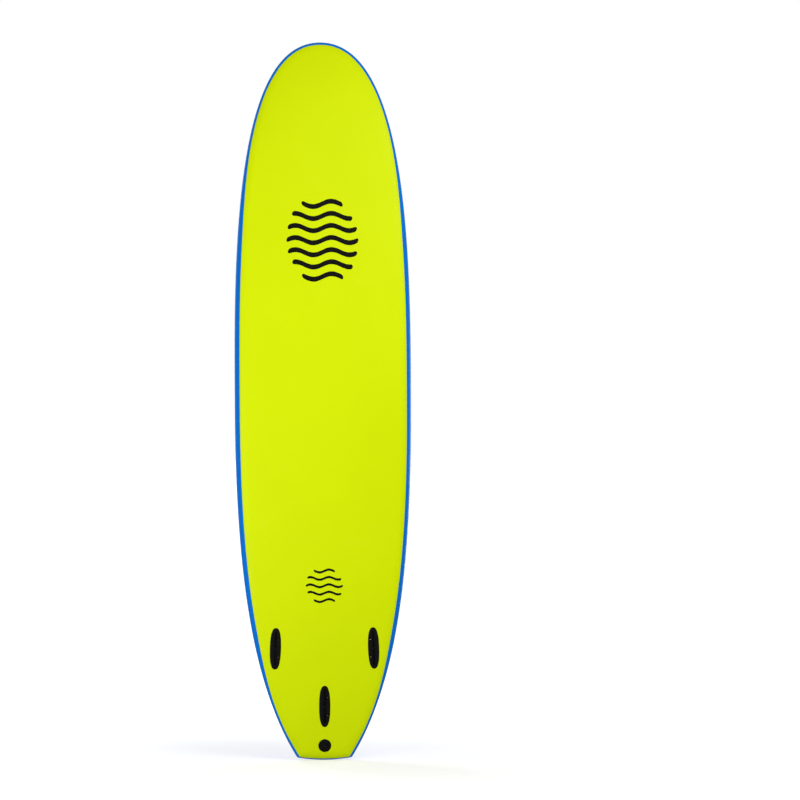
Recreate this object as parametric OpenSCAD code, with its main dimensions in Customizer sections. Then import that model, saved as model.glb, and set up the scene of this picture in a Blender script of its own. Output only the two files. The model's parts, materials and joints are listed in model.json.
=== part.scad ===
// Soft-top surfboard with three empty fin boxes and a through-bolted leash plug.
// The board stands on its tail: Z runs from tail to nose, X across the board, and the
// riding bottom faces -Y. The origin is the middle of the tail's edge.

/* [Outline] */
// Length from the tail's edge to the tip of the nose
board_l = 2438; // [2000:1:2800]
// Width at the widest point
board_w = 597; // [540:1:640]
// Height of the widest point above the tail
wide_z = 1200; // [1000:10:1400]
// Reach of the nose curve's shoulder above the widest point
nose_shoulder = 426; // [300:1:550]
// Half-width that the nose curve aims at from the tip
nose_round = 310; // [220:1:360]
// Reach of the tail curve's shoulder below the widest point
tail_shoulder = 532; // [400:1:650]
// Width across the tail's corners
tail_w = 185; // [150:1:220]
// How far the tail's edge bulges past its corners
tail_bulge = 8; // [2:0.5:14]
// Rounding of the tail's corners, measured along each edge
tail_corner = 5; // [3:1:20]
// Rise of the rail where it leaves the tail's corner
tail_flare_rise = 255; // [180:1:320]
// Spread of the rail where it leaves the tail's corner
tail_flare_out = 159; // [120:1:175]

/* [Rocker and foil] */
// Lift of the nose above the flat of the bottom
nose_rocker = 118; // [80:1:150]
// Lift of the tail above the flat of the bottom
tail_rocker = 42; // [25:1:60]
// Height of the flattest point of the bottom
flat_z = 1050; // [900:10:1200]
// Thickness in the middle
mid_t = 86; // [76:1:96]
// Thickness at the tip of the nose, before its edge is rounded
nose_t = 30; // [26:1:40]
// Thickness at the tail, before its edge is rounded
tail_t = 40; // [36:1:46]
// Height of the thickest point
thick_z = 1150; // [1000:10:1300]
// Rise of the deck from rail to centre line in the middle
deck_dome = 11; // [6:1:18]
// Width of the rounded rail on the deck side
deck_rail_w = 78; // [60:1:95]
// Width of the rounded rail on the bottom side
bottom_rail_w = 38; // [32:1:48]

/* [Skins] */
// Thickness of the soft deck skin
skin_t = 6; // [4:0.5:8]
// Thickness of the slick bottom sheet
slick_t = 2.5; // [2:0.25:3.5]
// Thickness of each fibreglass laminate
laminate_t = 0.8; // [0.6:0.1:1.2]
// Width of the deck skin's border that wraps onto the bottom, along the middle
border_w = 16; // [12:0.5:20]
// Width of that border round the nose
border_nose_w = 8.5; // [8:0.5:12]
// Width of that border along the tail's flanks
border_tail_w = 8.5; // [8:0.5:12]
// Width of that border across the tail's edge
border_end_w = 4.5; // [4:0.5:8]

/* [Stringers] */
// Distance between the middles of the two stringers
stringer_gap = 140; // [120:2:170]
// Thickness of a stringer
stringer_t = 4; // [3:0.5:6]

/* [Fin boxes] */
// Distance between the middles of the two side boxes
side_box_gap = 332; // [310:2:350]
// Height of the side boxes above the tail
side_box_z = 380; // [340:1:420]
// Height of the centre box above the tail
centre_box_z = 183; // [175:1:200]
// Angle that the side boxes lean inwards towards the nose
toe_in = 2; // [0:0.25:2.5]
// Length of a box's flange
box_l = 140; // [134:1:150]
// Width of a box's flange
box_w = 37; // [35:0.5:40]
// Height of the flange over the bottom
box_proud = 0.8; // [0.4:0.1:1.5]
// Length of the box below its flange
box_body_l = 124; // [120:1:128]
// Width of the box below its flange
box_body_w = 31; // [29:0.5:33]
// Depth of the box below its flange
box_body_h = 16; // [14:0.5:20]
// Width of a fin tab's pocket
pocket_w = 7; // [6:0.25:8]
// Length of a fin tab's pocket
pocket_l = 52; // [44:1:53]
// Depth of a fin tab's pocket from the flange's face
pocket_h = 14; // [12:0.5:15]
// Bridge between the two pockets of a box
pocket_bridge = 8; // [6:1:12]
// Length of the dense foam block around a box
block_l = 166; // [156:1:172]
// Width of the dense foam block around a box
block_w = 60; // [50:1:64]
// Depth of the dense foam block
block_h = 26; // [23:1:28]

/* [Fin screws] */
// Diameter of a grub screw
screw_d = 5; // [4:0.5:5.5]
// Length of a grub screw
screw_l = 7.5; // [6:0.25:7.75]
// Width across the flats of the screw's hexagon socket
hex_w = 2.5; // [2:0.5:2.5]
// Depth of the screw's hexagon socket
hex_h = 3; // [2:0.5:4]
// Lean of a grub screw from upright, towards its pocket
screw_lean = 45; // [43:1:48]
// Distance from the box's middle to the screw's hole in the flange's face
screw_x = 13; // [12.75:0.25:13.5]
// Radial gap between a grub screw and its hole
screw_gap = 0.08; // [0.05:0.01:0.1]

/* [Leash plug] */
// Height of the plug above the tail
leash_z = 51; // [48:1:60]
// Diameter of the plug's flange and of the backing disc
plug_d = 43; // [40:1:46]
// Height of the plug and of the disc over the skins
plug_proud = 0.8; // [0.4:0.1:1.5]
// Depth of the flat seats routed for the plug and the disc under the skins
seat_sink = 0.3; // [0.2:0.05:0.5]
// Diameter of the cup below its flange
cup_d = 34; // [32:1:36]
// Diameter of the cup's hollow
hollow_d = 27; // [25:0.5:28]
// Depth of the cup's hollow from the flange's face
hollow_h = 15; // [14:0.5:16]
// Thickness of the cup's floor
cup_floor = 3; // [2:0.5:4]
// Diameter of the leash bar
bar_d = 4; // [3:0.5:5]
// Depth of the bar's middle below the flange's face
bar_depth = 6.5; // [6:0.5:8]
// Diameter of the boss under the cup
boss_d = 18; // [16:1:20]
// Length of the boss under the cup
boss_h = 9; // [7:0.5:10]
// Outer diameter of the threaded brass bush in the boss
bush_d = 12; // [11:0.5:13]
// Diameter of the backing disc's stem
stem_d = 8; // [6:0.5:8]
// Thickness of each sealing ring
seal_t = 1.2; // [0.8:0.1:1.5]
// Width of the coin slot in the backing disc
coin_w = 2.4; // [2:0.1:3]
// Length of the coin slot in the backing disc
coin_l = 22; // [18:1:26]
// Depth of the coin slot in the backing disc
coin_h = 1.2; // [0.8:0.1:1.4]

/* [Fits] */
// Gap around a piece that is set into another
fit_gap = 0.3; // [0.2:0.05:0.4]
// Radial gap around a pin or bush that is pressed home
press_gap = 0.02; // [0.01:0.01:0.04]
// Radial gap between the stem's thread and the brass bush
thread_gap = 0.05; // [0.03:0.01:0.08]

/* [Hidden] */
$fn = 64;

// Colours of the pieces
blue = "#0c75da";
lime = "#d2ec00";
black = "#181818";
foam_white = "#f2f2ee";
glass_green = "#d9e6c8";
ply = "#c79a5b";
dense_foam = "#e6d9a8";
steel = "#c0c4c8";
coated_steel = "#1c1c1d";
brass = "#c9a24a";

// How finely the ribs follow the outline
tail_edge_ribs = 5;
corner_ribs = 3;
tail_ribs = 13;
nose_ribs = 22;
nose_crowding = 1.4;
// Shares of the length at which the border starts and stops widening and narrowing
border_grows = [0.06, 0.19];
border_shrinks = [0.7, 0.88];
// How far the slick sheet's edge laps over the inner edge of the deck skin
border_lap = 2;
// Height of the deck skin's end piece, which holds the leash plug
tail_piece_h = 99;
// How finely each rib follows the deck and the bottom
deck_rail_steps = 7;
deck_flat_steps = 4;
border_steps = 2;
bottom_rail_steps = 3;
bottom_flat_steps = 2;
// Where the ribs that fan round the tail and the nose meet the centre line
tail_fan = 70;
nose_fan = 150;
fan_step = 2;
// The rail takes at most this share of a rib
rail_share = 0.5;
// Share of the thickness that lies below the rail's apex
apex_share = 0.42;
// Powers of the rail curves: 2 is an ellipse, more is boxier
deck_rail_power = 2.3;
bottom_rail_power = 2.2;
// Powers of the rocker and of the foil
nose_rocker_power = 2.7;
tail_rocker_power = 2.1;
tail_foil_power = 2;
nose_foil_power = 1.3;
// Powers of the ovals seen from the bottom
box_power = 2.5;
block_power = 5;
oval_points = 64;
// Reach of cutting tools past the surfaces they cut
over = 1;
clear = 4;
places = ["left", "centre", "right"];
half_w = board_w / 2;
screw_y = pocket_bridge / 2 + pocket_l / 2;

function mix(a, b, t) = a * (1 - t) + b * t;
function flip(list) = [for (i = [len(list) - 1:-1:0]) list[i]];
function from_to(list, first, last) = [for (i = [first:last]) list[i]];
function quadratic(a, b, c, t) = mix(mix(a, b, t), mix(b, c, t), t);
function cubic(p, t) = mix(quadratic(p[0], p[1], p[2], t), quadratic(p[1], p[2], p[3], t), t);

// The outline's right half, as [x, z] points from the middle of the tail to the nose.
corner = [tail_w / 2, tail_bulge];
tail_flare = [tail_flare_out, tail_flare_rise];
wide = [half_w, wide_z];
tail_curve = [corner, corner + tail_flare, wide - [0, tail_shoulder], wide];
nose_curve = [wide, wide + [0, nose_shoulder], [nose_round, board_l], [0, board_l]];
function tail_edge(x) = [x, tail_bulge * pow(x / corner.x, 2)];
corner_in = tail_edge(corner.x - tail_corner);
corner_t = tail_corner / norm(3 * tail_flare);
corner_out = cubic(tail_curve, corner_t);
outline = concat(
    [for (i = [0:tail_edge_ribs - 1]) tail_edge(corner_in.x * i / tail_edge_ribs)],
    [for (i = [0:corner_ribs]) quadratic(corner_in, corner, corner_out, i / corner_ribs)],
    [for (i = [1:tail_ribs]) cubic(tail_curve, mix(corner_t, 1, i / tail_ribs))],
    [for (i = [1:nose_ribs]) cubic(nose_curve, 1 - pow(1 - i / nose_ribs, nose_crowding))]
);
last_rib = len(outline) - 1;

// Each rib runs from the centre line to its outline point, and fans out at both ends.
spine = [
    for (i = [0:last_rib])
        min(max(outline[i].y, tail_fan + fan_step * i),
            board_l - nose_fan - fan_step * (last_rib - i))
];
rib_l = [for (i = [0:last_rib]) norm(outline[i] - [0, spine[i]])];

// Width of the border at rib i, and the inset of the skin's inner edge there.
function ease(t) = let (c = min(1, max(0, t))) c * c * (3 - 2 * c);
function ramp(z, shares) = ease((z / board_l - shares[0]) / (shares[1] - shares[0]));
function border(i) =
    let (flank = mix(border_tail_w, border_w, ramp(outline[i].y, border_grows)))
    let (side = mix(flank, border_nose_w, ramp(outline[i].y, border_shrinks)))
    mix(border_end_w, side, ease((i - tail_edge_ribs + 1) / (corner_ribs + 1)));
function skin_edge(i) = min(skin_t, border(i) - border_lap);

// Height of the bottom, thickness, rail apex and dome at a height z, before rounding.
function rocker(z) =
    z > flat_z
        ? nose_rocker * pow((z - flat_z) / (board_l - flat_z), nose_rocker_power)
        : tail_rocker * pow((flat_z - z) / flat_z, tail_rocker_power);
function foil(share, power) = pow(max(0, sin(90 * share)), power);
function thickness(z) =
    z > thick_z
        ? mix(nose_t, mid_t, foil((board_l - z) / (board_l - thick_z), nose_foil_power))
        : mix(tail_t, mid_t, foil(z / thick_z, tail_foil_power));
tail_middle = tail_rocker + apex_share * tail_t;
function bottom_y(z) = rocker(z) - tail_middle;
function apex_y(z) = bottom_y(z) + apex_share * thickness(z);
function dome(z) = deck_dome * thickness(z) / mid_t;
function deck_h(z) = (1 - apex_share) * thickness(z) - dome(z);
function bottom_h(z) = apex_share * thickness(z);
function deck_y(z) = apex_y(z) + dome(z) + deck_h(z);
function slope(y_above, y_below) = atan((y_above - y_below) / (2 * over));
function bottom_slope(z) = slope(bottom_y(z + over), bottom_y(z - over));
function deck_slope(z) = slope(deck_y(z + over), deck_y(z - over));

// A point on rib i at distance d in from the outline, on a layer whose edge lies at
// inset e and whose face lies depth h below the skin.
function on_plan(i, side, d) =
    let (f = (rib_l[i] - d) / rib_l[i])
    [f == 0 ? 0 : side * outline[i].x * f, mix(spine[i], outline[i].y, f)];
function deck_rail(i) = min(deck_rail_w, rail_share * rib_l[i]);
function rail_curve(s, power) = pow(1 - pow(s, power), 1 / power);
function deck_point(i, side, d, e, h) =
    let (p = on_plan(i, side, d), w = deck_rail(i), f = (rib_l[i] - d) / (rib_l[i] - e))
    let (s = max(0, (w - d) / (w - e)))
    let (lift = (deck_h(p.y) - h) * rail_curve(s, deck_rail_power))
    [p.x, apex_y(p.y) + dome(p.y) * (1 - f * f) + lift, p.y];
function bottom_point(i, side, d, e, h) =
    let (p = on_plan(i, side, d))
    let (s = max(0, (bottom_rail_w - d) / (bottom_rail_w - e)))
    [p.x, apex_y(p.y) - (bottom_h(p.y) - h) * rail_curve(s, bottom_rail_power), p.y];

// Distances from the outline at which rib i has its points, from apex to centre line.
function rail_angle(j) = 90 * (1 - j / deck_rail_steps);
function deck_stations(i, e) =
    let (w = deck_rail(i))
    concat(
        [for (j = [0:deck_rail_steps])
            w - (w - e) * pow(sin(rail_angle(j)), 2 / deck_rail_power)],
        [for (j = [1:deck_flat_steps]) mix(w, rib_l[i], j / deck_flat_steps)]
    );
function bottom_stations(i, e) = concat(
    [for (j = [0:border_steps]) mix(e, border(i), pow(j / border_steps, 2))],
    [for (j = [1:bottom_rail_steps]) mix(border(i), bottom_rail_w, j / bottom_rail_steps)],
    [for (j = [1:bottom_flat_steps]) mix(bottom_rail_w, rib_l[i], j / bottom_flat_steps)]
);

// The layers, as [inset past the skin's edge, depth below the deck, depth below the bottom].
outside = [0, 0, 0];
under_skin = [0, skin_t, slick_t];
under_laminate = under_skin + [laminate_t, laminate_t, laminate_t];
function inset(i, layer) = layer == outside ? 0 : skin_edge(i) + layer[0];
deck_end = deck_rail_steps + deck_flat_steps;
bottom_end = border_steps + bottom_rail_steps + bottom_flat_steps;
function deck_line(i, side, layer) =
    let (e = inset(i, layer))
    [for (d = deck_stations(i, e)) deck_point(i, side, d, e, layer[1])];
function bottom_line(i, side, layer) =
    let (e = inset(i, layer))
    [for (d = bottom_stations(i, e)) bottom_point(i, side, d, e, layer[2])];

// The cross-sections of the layered pieces along one rib, open at the centre line.
function deck_skin_rib(i, side) = concat(
    flip(deck_line(i, side, outside)),
    from_to(bottom_line(i, side, outside), 1, border_steps),
    flip(from_to(bottom_line(i, side, under_skin), 0, border_steps)),
    from_to(deck_line(i, side, under_skin), 1, deck_end)
);
function slick_rib(i, side) = concat(
    flip(from_to(bottom_line(i, side, under_skin), border_steps, bottom_end)),
    from_to(bottom_line(i, side, outside), border_steps, bottom_end)
);
function deck_laminate_rib(i, side) = concat(
    flip(deck_line(i, side, under_skin)),
    deck_line(i, side, under_laminate)
);
function bottom_laminate_rib(i, side) = concat(
    flip(bottom_line(i, side, under_laminate)),
    bottom_line(i, side, under_skin)
);
function core_rib(i, side) = concat(
    flip(deck_line(i, side, under_laminate)),
    from_to(bottom_line(i, side, under_laminate), 1, bottom_end)
);

// Two triangles between four points, split along the shorter diagonal, so that layers
// which share a surface split it alike.
function patch(p, a, b, c, d) =
    norm(p[a] - p[c]) < norm(p[b] - p[d]) ? [[a, b, c], [a, c, d]] : [[a, b, d], [b, c, d]];

// Joins ribs that go right round the outline into one closed solid.
module ribbed(right, left) {
    ribs = concat(right, left);
    n = len(ribs);
    m = len(ribs[0]);
    points = [for (rib = ribs) each rib];
    faces = [
        for (k = [0:n - 1], j = [0:m - 2])
            let (a = k * m + j, b = ((k + 1) % n) * m + j)
            each patch(points, a, a + 1, b + 1, b)
    ];
    polyhedron(points, faces, convexity = 6);
}
right_ribs = [0:last_rib];
left_ribs = [last_rib - 1:-1:1];

module core_blank() {
    ribbed([for (i = right_ribs) core_rib(i, 1)], [for (i = left_ribs) core_rib(i, -1)]);
}

// A slice of space between two x values.
module slab(x0, x1) {
    translate([x0, -board_w, -over]) cube([x1 - x0, 2 * board_w, board_l + 2 * over]);
}

// An oval outline, and a prism on it between two heights.
function oval(l, w, power) = [
    for (k = [0:oval_points - 1])
        let (a = 360 * k / oval_points, c = cos(a), s = sin(a))
        [w / 2 * sign(c) * pow(abs(c), 2 / power), l / 2 * sign(s) * pow(abs(s), 2 / power)]
];
module oval_prism(l, w, power, z0, z1) {
    translate([0, 0, z0]) linear_extrude(z1 - z0) polygon(oval(l, w, power));
}

// Places a fin box's frame on the bottom: its Z points out of the board, its Y along it.
module on_bottom(x, z, toe) {
    translate([x, bottom_y(z), z]) rotate([90 - bottom_slope(z), 0, 0]) rotate([0, 0, toe])
        children();
}
module at_box(place) {
    side = place == "left" ? -1 : 1;
    if (place == "centre") on_bottom(0, centre_box_z, 0) children();
    else mirror([side < 0 ? 1 : 0, 0, 0])
        on_bottom(side_box_gap / 2, side_box_z, toe_in) mirror([1, 0, 0]) children();
}

// The rooms that a fin box and its foam block take up; z = 0 is the face of the bottom.
module block_room() {
    oval_prism(block_l, block_w, block_power, -block_h, clear);
}
module body_room() {
    oval_prism(box_body_l + 2 * fit_gap, box_body_w + 2 * fit_gap, box_power,
        -slick_t - box_body_h - fit_gap, clear);
}
module flange_room() {
    oval_prism(box_l + 2 * fit_gap, box_w + 2 * fit_gap, box_power, -slick_t - over, clear);
}

// A grub screw's own frame: its Z runs from the flange's face into the pocket.
hole_r = screw_d / 2 + screw_gap;
hole_reach = (screw_x - pocket_w / 2 + cos(screw_lean) * hole_r) / sin(screw_lean);
tip_x = pocket_w / 2 + cos(screw_lean) * screw_d / 2 + fit_gap / 2;
tip_reach = (screw_x - tip_x) / sin(screw_lean);
module screw_frame(end) {
    translate([screw_x, end * screw_y, box_proud]) rotate([0, screw_lean, 0])
        rotate([180, 0, 0]) children();
}
module fin_box(place) {
    color(black) at_box(place) difference() {
        union() {
            oval_prism(box_l, box_w, box_power, -slick_t, box_proud);
            oval_prism(box_body_l, box_body_w, box_power, -slick_t - box_body_h, -slick_t);
        }
        for (end = [-1, 1]) {
            translate([-pocket_w / 2, end * screw_y - pocket_l / 2, box_proud - pocket_h])
                cube([pocket_w, pocket_l, pocket_h + over]);
            screw_frame(end) translate([0, 0, -screw_d])
                cylinder(r = hole_r, h = screw_d + hole_reach);
        }
    }
}
module fin_screw(place, end) {
    color(steel) at_box(place) screw_frame(end) translate([0, 0, tip_reach - screw_l])
        difference() {
            cylinder(d = screw_d, h = screw_l);
            translate([0, 0, -over])
                cylinder(d = hex_w / cos(30), h = hex_h + over, $fn = 6);
        }
}
module fin_block(place) {
    color(dense_foam) difference() {
        intersection() {
            core_blank();
            at_box(place) block_room();
        }
        at_box(place) body_room();
    }
}

// The leash plug's own frame: z = 0 is the middle of the board, +Z comes out of the deck.
plug_half = (deck_y(leash_z) - bottom_y(leash_z)) / 2;
plug_tilt = (deck_slope(leash_z) + bottom_slope(leash_z)) / 2;
face_z = plug_half + plug_proud;
deck_seat = plug_half - skin_t - seat_sink;
bottom_seat = plug_half - slick_t - seat_sink;
floor_z = face_z - hollow_h - cup_floor;
boss_z = floor_z - boss_h;
bar_l = (hollow_d + cup_d) / 2;
module at_plug() {
    translate([0, bottom_y(leash_z) + plug_half, leash_z]) rotate([-90 - plug_tilt, 0, 0])
        children();
}
module disc(d, z0, z1) {
    translate([0, 0, z0]) cylinder(d = d, h = z1 - z0);
}
module plug_room() {
    at_plug() {
        disc(plug_d + 2 * fit_gap, deck_seat, face_z + clear);
        disc(cup_d + 2 * fit_gap, floor_z - fit_gap, deck_seat + over);
        disc(boss_d + 2 * fit_gap, -bottom_seat - over, floor_z);
        disc(plug_d + 2 * fit_gap, -face_z - clear, -bottom_seat);
    }
}
module leash_cup() {
    color(black) at_plug() difference() {
        union() {
            disc(plug_d, deck_seat + seal_t, face_z);
            disc(cup_d, floor_z, deck_seat + seal_t);
            disc(boss_d, boss_z, floor_z);
        }
        disc(hollow_d, face_z - hollow_h, face_z + over);
        disc(bush_d + 2 * press_gap, boss_z - over, floor_z);
        bar_line(bar_d + 2 * press_gap, bar_l + 2 * press_gap);
    }
}
module bar_line(d, l) {
    translate([-l / 2, 0, face_z - bar_depth]) rotate([0, 90, 0]) cylinder(d = d, h = l);
}
module leash_bar() {
    color(coated_steel) at_plug() bar_line(bar_d, bar_l);
}
module leash_bush() {
    color(brass) at_plug() difference() {
        disc(bush_d, boss_z, floor_z);
        disc(stem_d + 2 * thread_gap, boss_z - over, floor_z + over);
    }
}
module leash_backing() {
    color(black) at_plug() difference() {
        union() {
            disc(plug_d, -face_z, -bottom_seat - seal_t);
            disc(stem_d, -bottom_seat - seal_t, floor_z - over);
        }
        translate([0, 0, -face_z]) rotate([0, 0, 45])
            cube([coin_l, coin_w, 2 * coin_h], center = true);
    }
}
module leash_seal(d_in, z0) {
    color(black) at_plug() difference() {
        disc(plug_d, z0, z0 + seal_t);
        disc(d_in + 2 * fit_gap, z0 - over, z0 + seal_t + over);
    }
}

module deck_skin_blank() {
    ribbed([for (i = right_ribs) deck_skin_rib(i, 1)],
        [for (i = left_ribs) deck_skin_rib(i, -1)]);
}
module tail_slab() {
    translate([-board_w, -board_w, -over]) cube([2 * board_w, 2 * board_w, tail_piece_h + over]);
}
module deck_skin() {
    color(blue) difference() {
        deck_skin_blank();
        tail_slab();
    }
}
module deck_skin_tail() {
    color(blue) difference() {
        intersection() {
            deck_skin_blank();
            tail_slab();
        }
        plug_room();
    }
}
module bottom_slick() {
    color(lime) difference() {
        ribbed([for (i = right_ribs) slick_rib(i, 1)], [for (i = left_ribs) slick_rib(i, -1)]);
        plug_room();
        for (place = places) at_box(place) flange_room();
    }
}
module deck_laminate() {
    color(glass_green) difference() {
        ribbed([for (i = right_ribs) deck_laminate_rib(i, 1)],
            [for (i = left_ribs) deck_laminate_rib(i, -1)]);
        plug_room();
    }
}
module bottom_laminate() {
    color(glass_green) difference() {
        ribbed([for (i = right_ribs) bottom_laminate_rib(i, 1)],
            [for (i = left_ribs) bottom_laminate_rib(i, -1)]);
        plug_room();
        for (place = places) at_box(place) body_room();
    }
}
stringer_out = (stringer_gap + stringer_t) / 2;
stringer_in = (stringer_gap - stringer_t) / 2;
module side_core(side, place) {
    color(foam_white) difference() {
        intersection() {
            core_blank();
            mirror([side < 0 ? 1 : 0, 0, 0]) slab(stringer_out, board_w);
        }
        at_box(place) block_room();
    }
}
module core_centre() {
    color(foam_white) difference() {
        intersection() {
            core_blank();
            slab(-stringer_in, stringer_in);
        }
        at_box("centre") block_room();
        plug_room();
    }
}
module stringer(side) {
    color(ply) intersection() {
        core_blank();
        mirror([side < 0 ? 1 : 0, 0, 0]) slab(stringer_in, stringer_out);
    }
}

deck_skin();
deck_skin_tail();
bottom_slick();
deck_laminate();
bottom_laminate();
side_core(-1, "left");  // core_left
core_centre();
side_core(1, "right");  // core_right
stringer(-1);  // stringer_left
stringer(1);  // stringer_right
fin_block("left");  // fin_block_left
fin_block("centre");  // fin_block_centre
fin_block("right");  // fin_block_right
fin_box("left");  // fin_box_left
fin_box("centre");  // fin_box_centre
fin_box("right");  // fin_box_right
fin_screw("left", 1);  // fin_screw_left_front
fin_screw("left", -1);  // fin_screw_left_rear
fin_screw("centre", 1);  // fin_screw_centre_front
fin_screw("centre", -1);  // fin_screw_centre_rear
fin_screw("right", 1);  // fin_screw_right_front
fin_screw("right", -1);  // fin_screw_right_rear
leash_cup();
leash_bar();
leash_bush();
leash_backing();
leash_seal(cup_d, deck_seat);  // leash_seal_deck
leash_seal(stem_d, -bottom_seat - seal_t);  // leash_seal_bottom
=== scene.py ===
"""Looks of a soft-top surfboard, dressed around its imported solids.

The board stands on its tail: +Z runs from tail to nose, X across the board, the riding
bottom faces -Y and the deck +Y. Everything is in metres.
"""

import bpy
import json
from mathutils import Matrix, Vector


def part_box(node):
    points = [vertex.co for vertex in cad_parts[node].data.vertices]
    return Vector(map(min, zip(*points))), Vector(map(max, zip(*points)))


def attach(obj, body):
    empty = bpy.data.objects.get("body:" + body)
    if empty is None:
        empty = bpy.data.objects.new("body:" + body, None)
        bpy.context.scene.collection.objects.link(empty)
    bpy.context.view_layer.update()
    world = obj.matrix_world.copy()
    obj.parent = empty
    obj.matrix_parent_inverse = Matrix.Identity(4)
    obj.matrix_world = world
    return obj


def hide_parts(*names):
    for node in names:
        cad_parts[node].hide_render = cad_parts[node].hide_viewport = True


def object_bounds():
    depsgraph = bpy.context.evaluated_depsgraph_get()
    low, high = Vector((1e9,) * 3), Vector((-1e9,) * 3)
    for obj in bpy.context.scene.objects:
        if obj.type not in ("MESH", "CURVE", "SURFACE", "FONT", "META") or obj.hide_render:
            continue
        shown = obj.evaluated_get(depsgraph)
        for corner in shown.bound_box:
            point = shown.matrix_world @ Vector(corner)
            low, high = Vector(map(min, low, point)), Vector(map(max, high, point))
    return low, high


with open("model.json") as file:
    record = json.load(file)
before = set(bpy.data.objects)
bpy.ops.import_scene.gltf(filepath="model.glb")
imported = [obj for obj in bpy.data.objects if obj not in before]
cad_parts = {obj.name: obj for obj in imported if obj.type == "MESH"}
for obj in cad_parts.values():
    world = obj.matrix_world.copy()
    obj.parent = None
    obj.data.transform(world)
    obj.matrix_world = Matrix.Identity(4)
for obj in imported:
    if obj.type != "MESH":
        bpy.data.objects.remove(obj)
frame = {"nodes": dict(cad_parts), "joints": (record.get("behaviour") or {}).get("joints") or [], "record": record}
CAD_BOX = [list(corner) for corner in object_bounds()]

import json
import logging
import math
from dataclasses import dataclass
from enum import Enum
from typing import Callable, Iterable, Optional, Sequence, Union

import bmesh
import bpy
import numpy as np
from mathutils import Matrix, Quaternion, Vector
from mathutils.bvhtree import BVHTree

log = logging.getLogger("surfboard")
MM = 0.001
BOARD = "board"
UP = Vector((0, 0, 1))
FINE = 1e-7
COARSE = 1e-6
SKIN_CREASE = 40.0
BEAD_CREASE = 80.0
PART_CREASE = 30.0
OVAL_STEPS = 112
PILL_STEPS = 5
PLUG_STEPS = 96
BAR_STEPS = 48
SCREW_STEPS = 40
INK_FILM = 0.12 * MM
HEXAGON = 6
Number = Union[float, int, "Value"]
Colour = tuple[float, float, float]
Span = tuple[float, float]
Surface = tuple["Value", "Value", "Value"]
Inputs = dict[Union[int, str], object]


# ---------------------------------------------------------------- nodes


def operator(kind: str, reflected: bool = False) -> Callable[["Value", Number], "Value"]:
    """Makes one of Value's operators.

    Args:
        kind: the Math node's operation.
        reflected: whether the other number comes first.

    Returns:
        The method.
    """

    def method(self: "Value", other: Number) -> "Value":
        """Adds the Math node."""
        return self.graph.math(kind, *((other, self) if reflected else (self, other)))

    return method


class Value:
    """A socket that Python's operators extend with Math nodes."""

    __add__, __radd__ = operator("ADD"), operator("ADD", True)
    __sub__, __rsub__ = operator("SUBTRACT"), operator("SUBTRACT", True)
    __mul__, __rmul__ = operator("MULTIPLY"), operator("MULTIPLY", True)
    __truediv__, __rtruediv__ = operator("DIVIDE"), operator("DIVIDE", True)
    at_least, at_most = operator("MAXIMUM"), operator("MINIMUM")

    def __init__(self, graph: "Graph", socket: bpy.types.NodeSocket) -> None:
        """Wraps one output socket of a graph."""
        self.graph = graph
        self.socket = socket

    def __abs__(self) -> "Value":
        """abs(self)."""
        return self.graph.math("ABSOLUTE", self)

    def sine(self) -> "Value":
        """The sine of self, in radians."""
        return self.graph.math("SINE", self)

    def root(self) -> "Value":
        """The square root of self."""
        return self.graph.math("SQRT", self)

    def swing(self, size: float) -> "Value":
        """A value from 0 to 1 as a swing of some size about 0."""
        return (self - 0.5) * size

    def step(self, low: float, high: float) -> "Value":
        """A smooth step of self.

        Args:
            low: where the step is still 0.
            high: where the step reaches 1.

        Returns:
            The stepped value.
        """
        inputs = {"Value": self, "From Min": low, "From Max": high}
        return self.graph.value(
            "ShaderNodeMapRange", inputs, interpolation_type="SMOOTHSTEP"
        )


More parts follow.
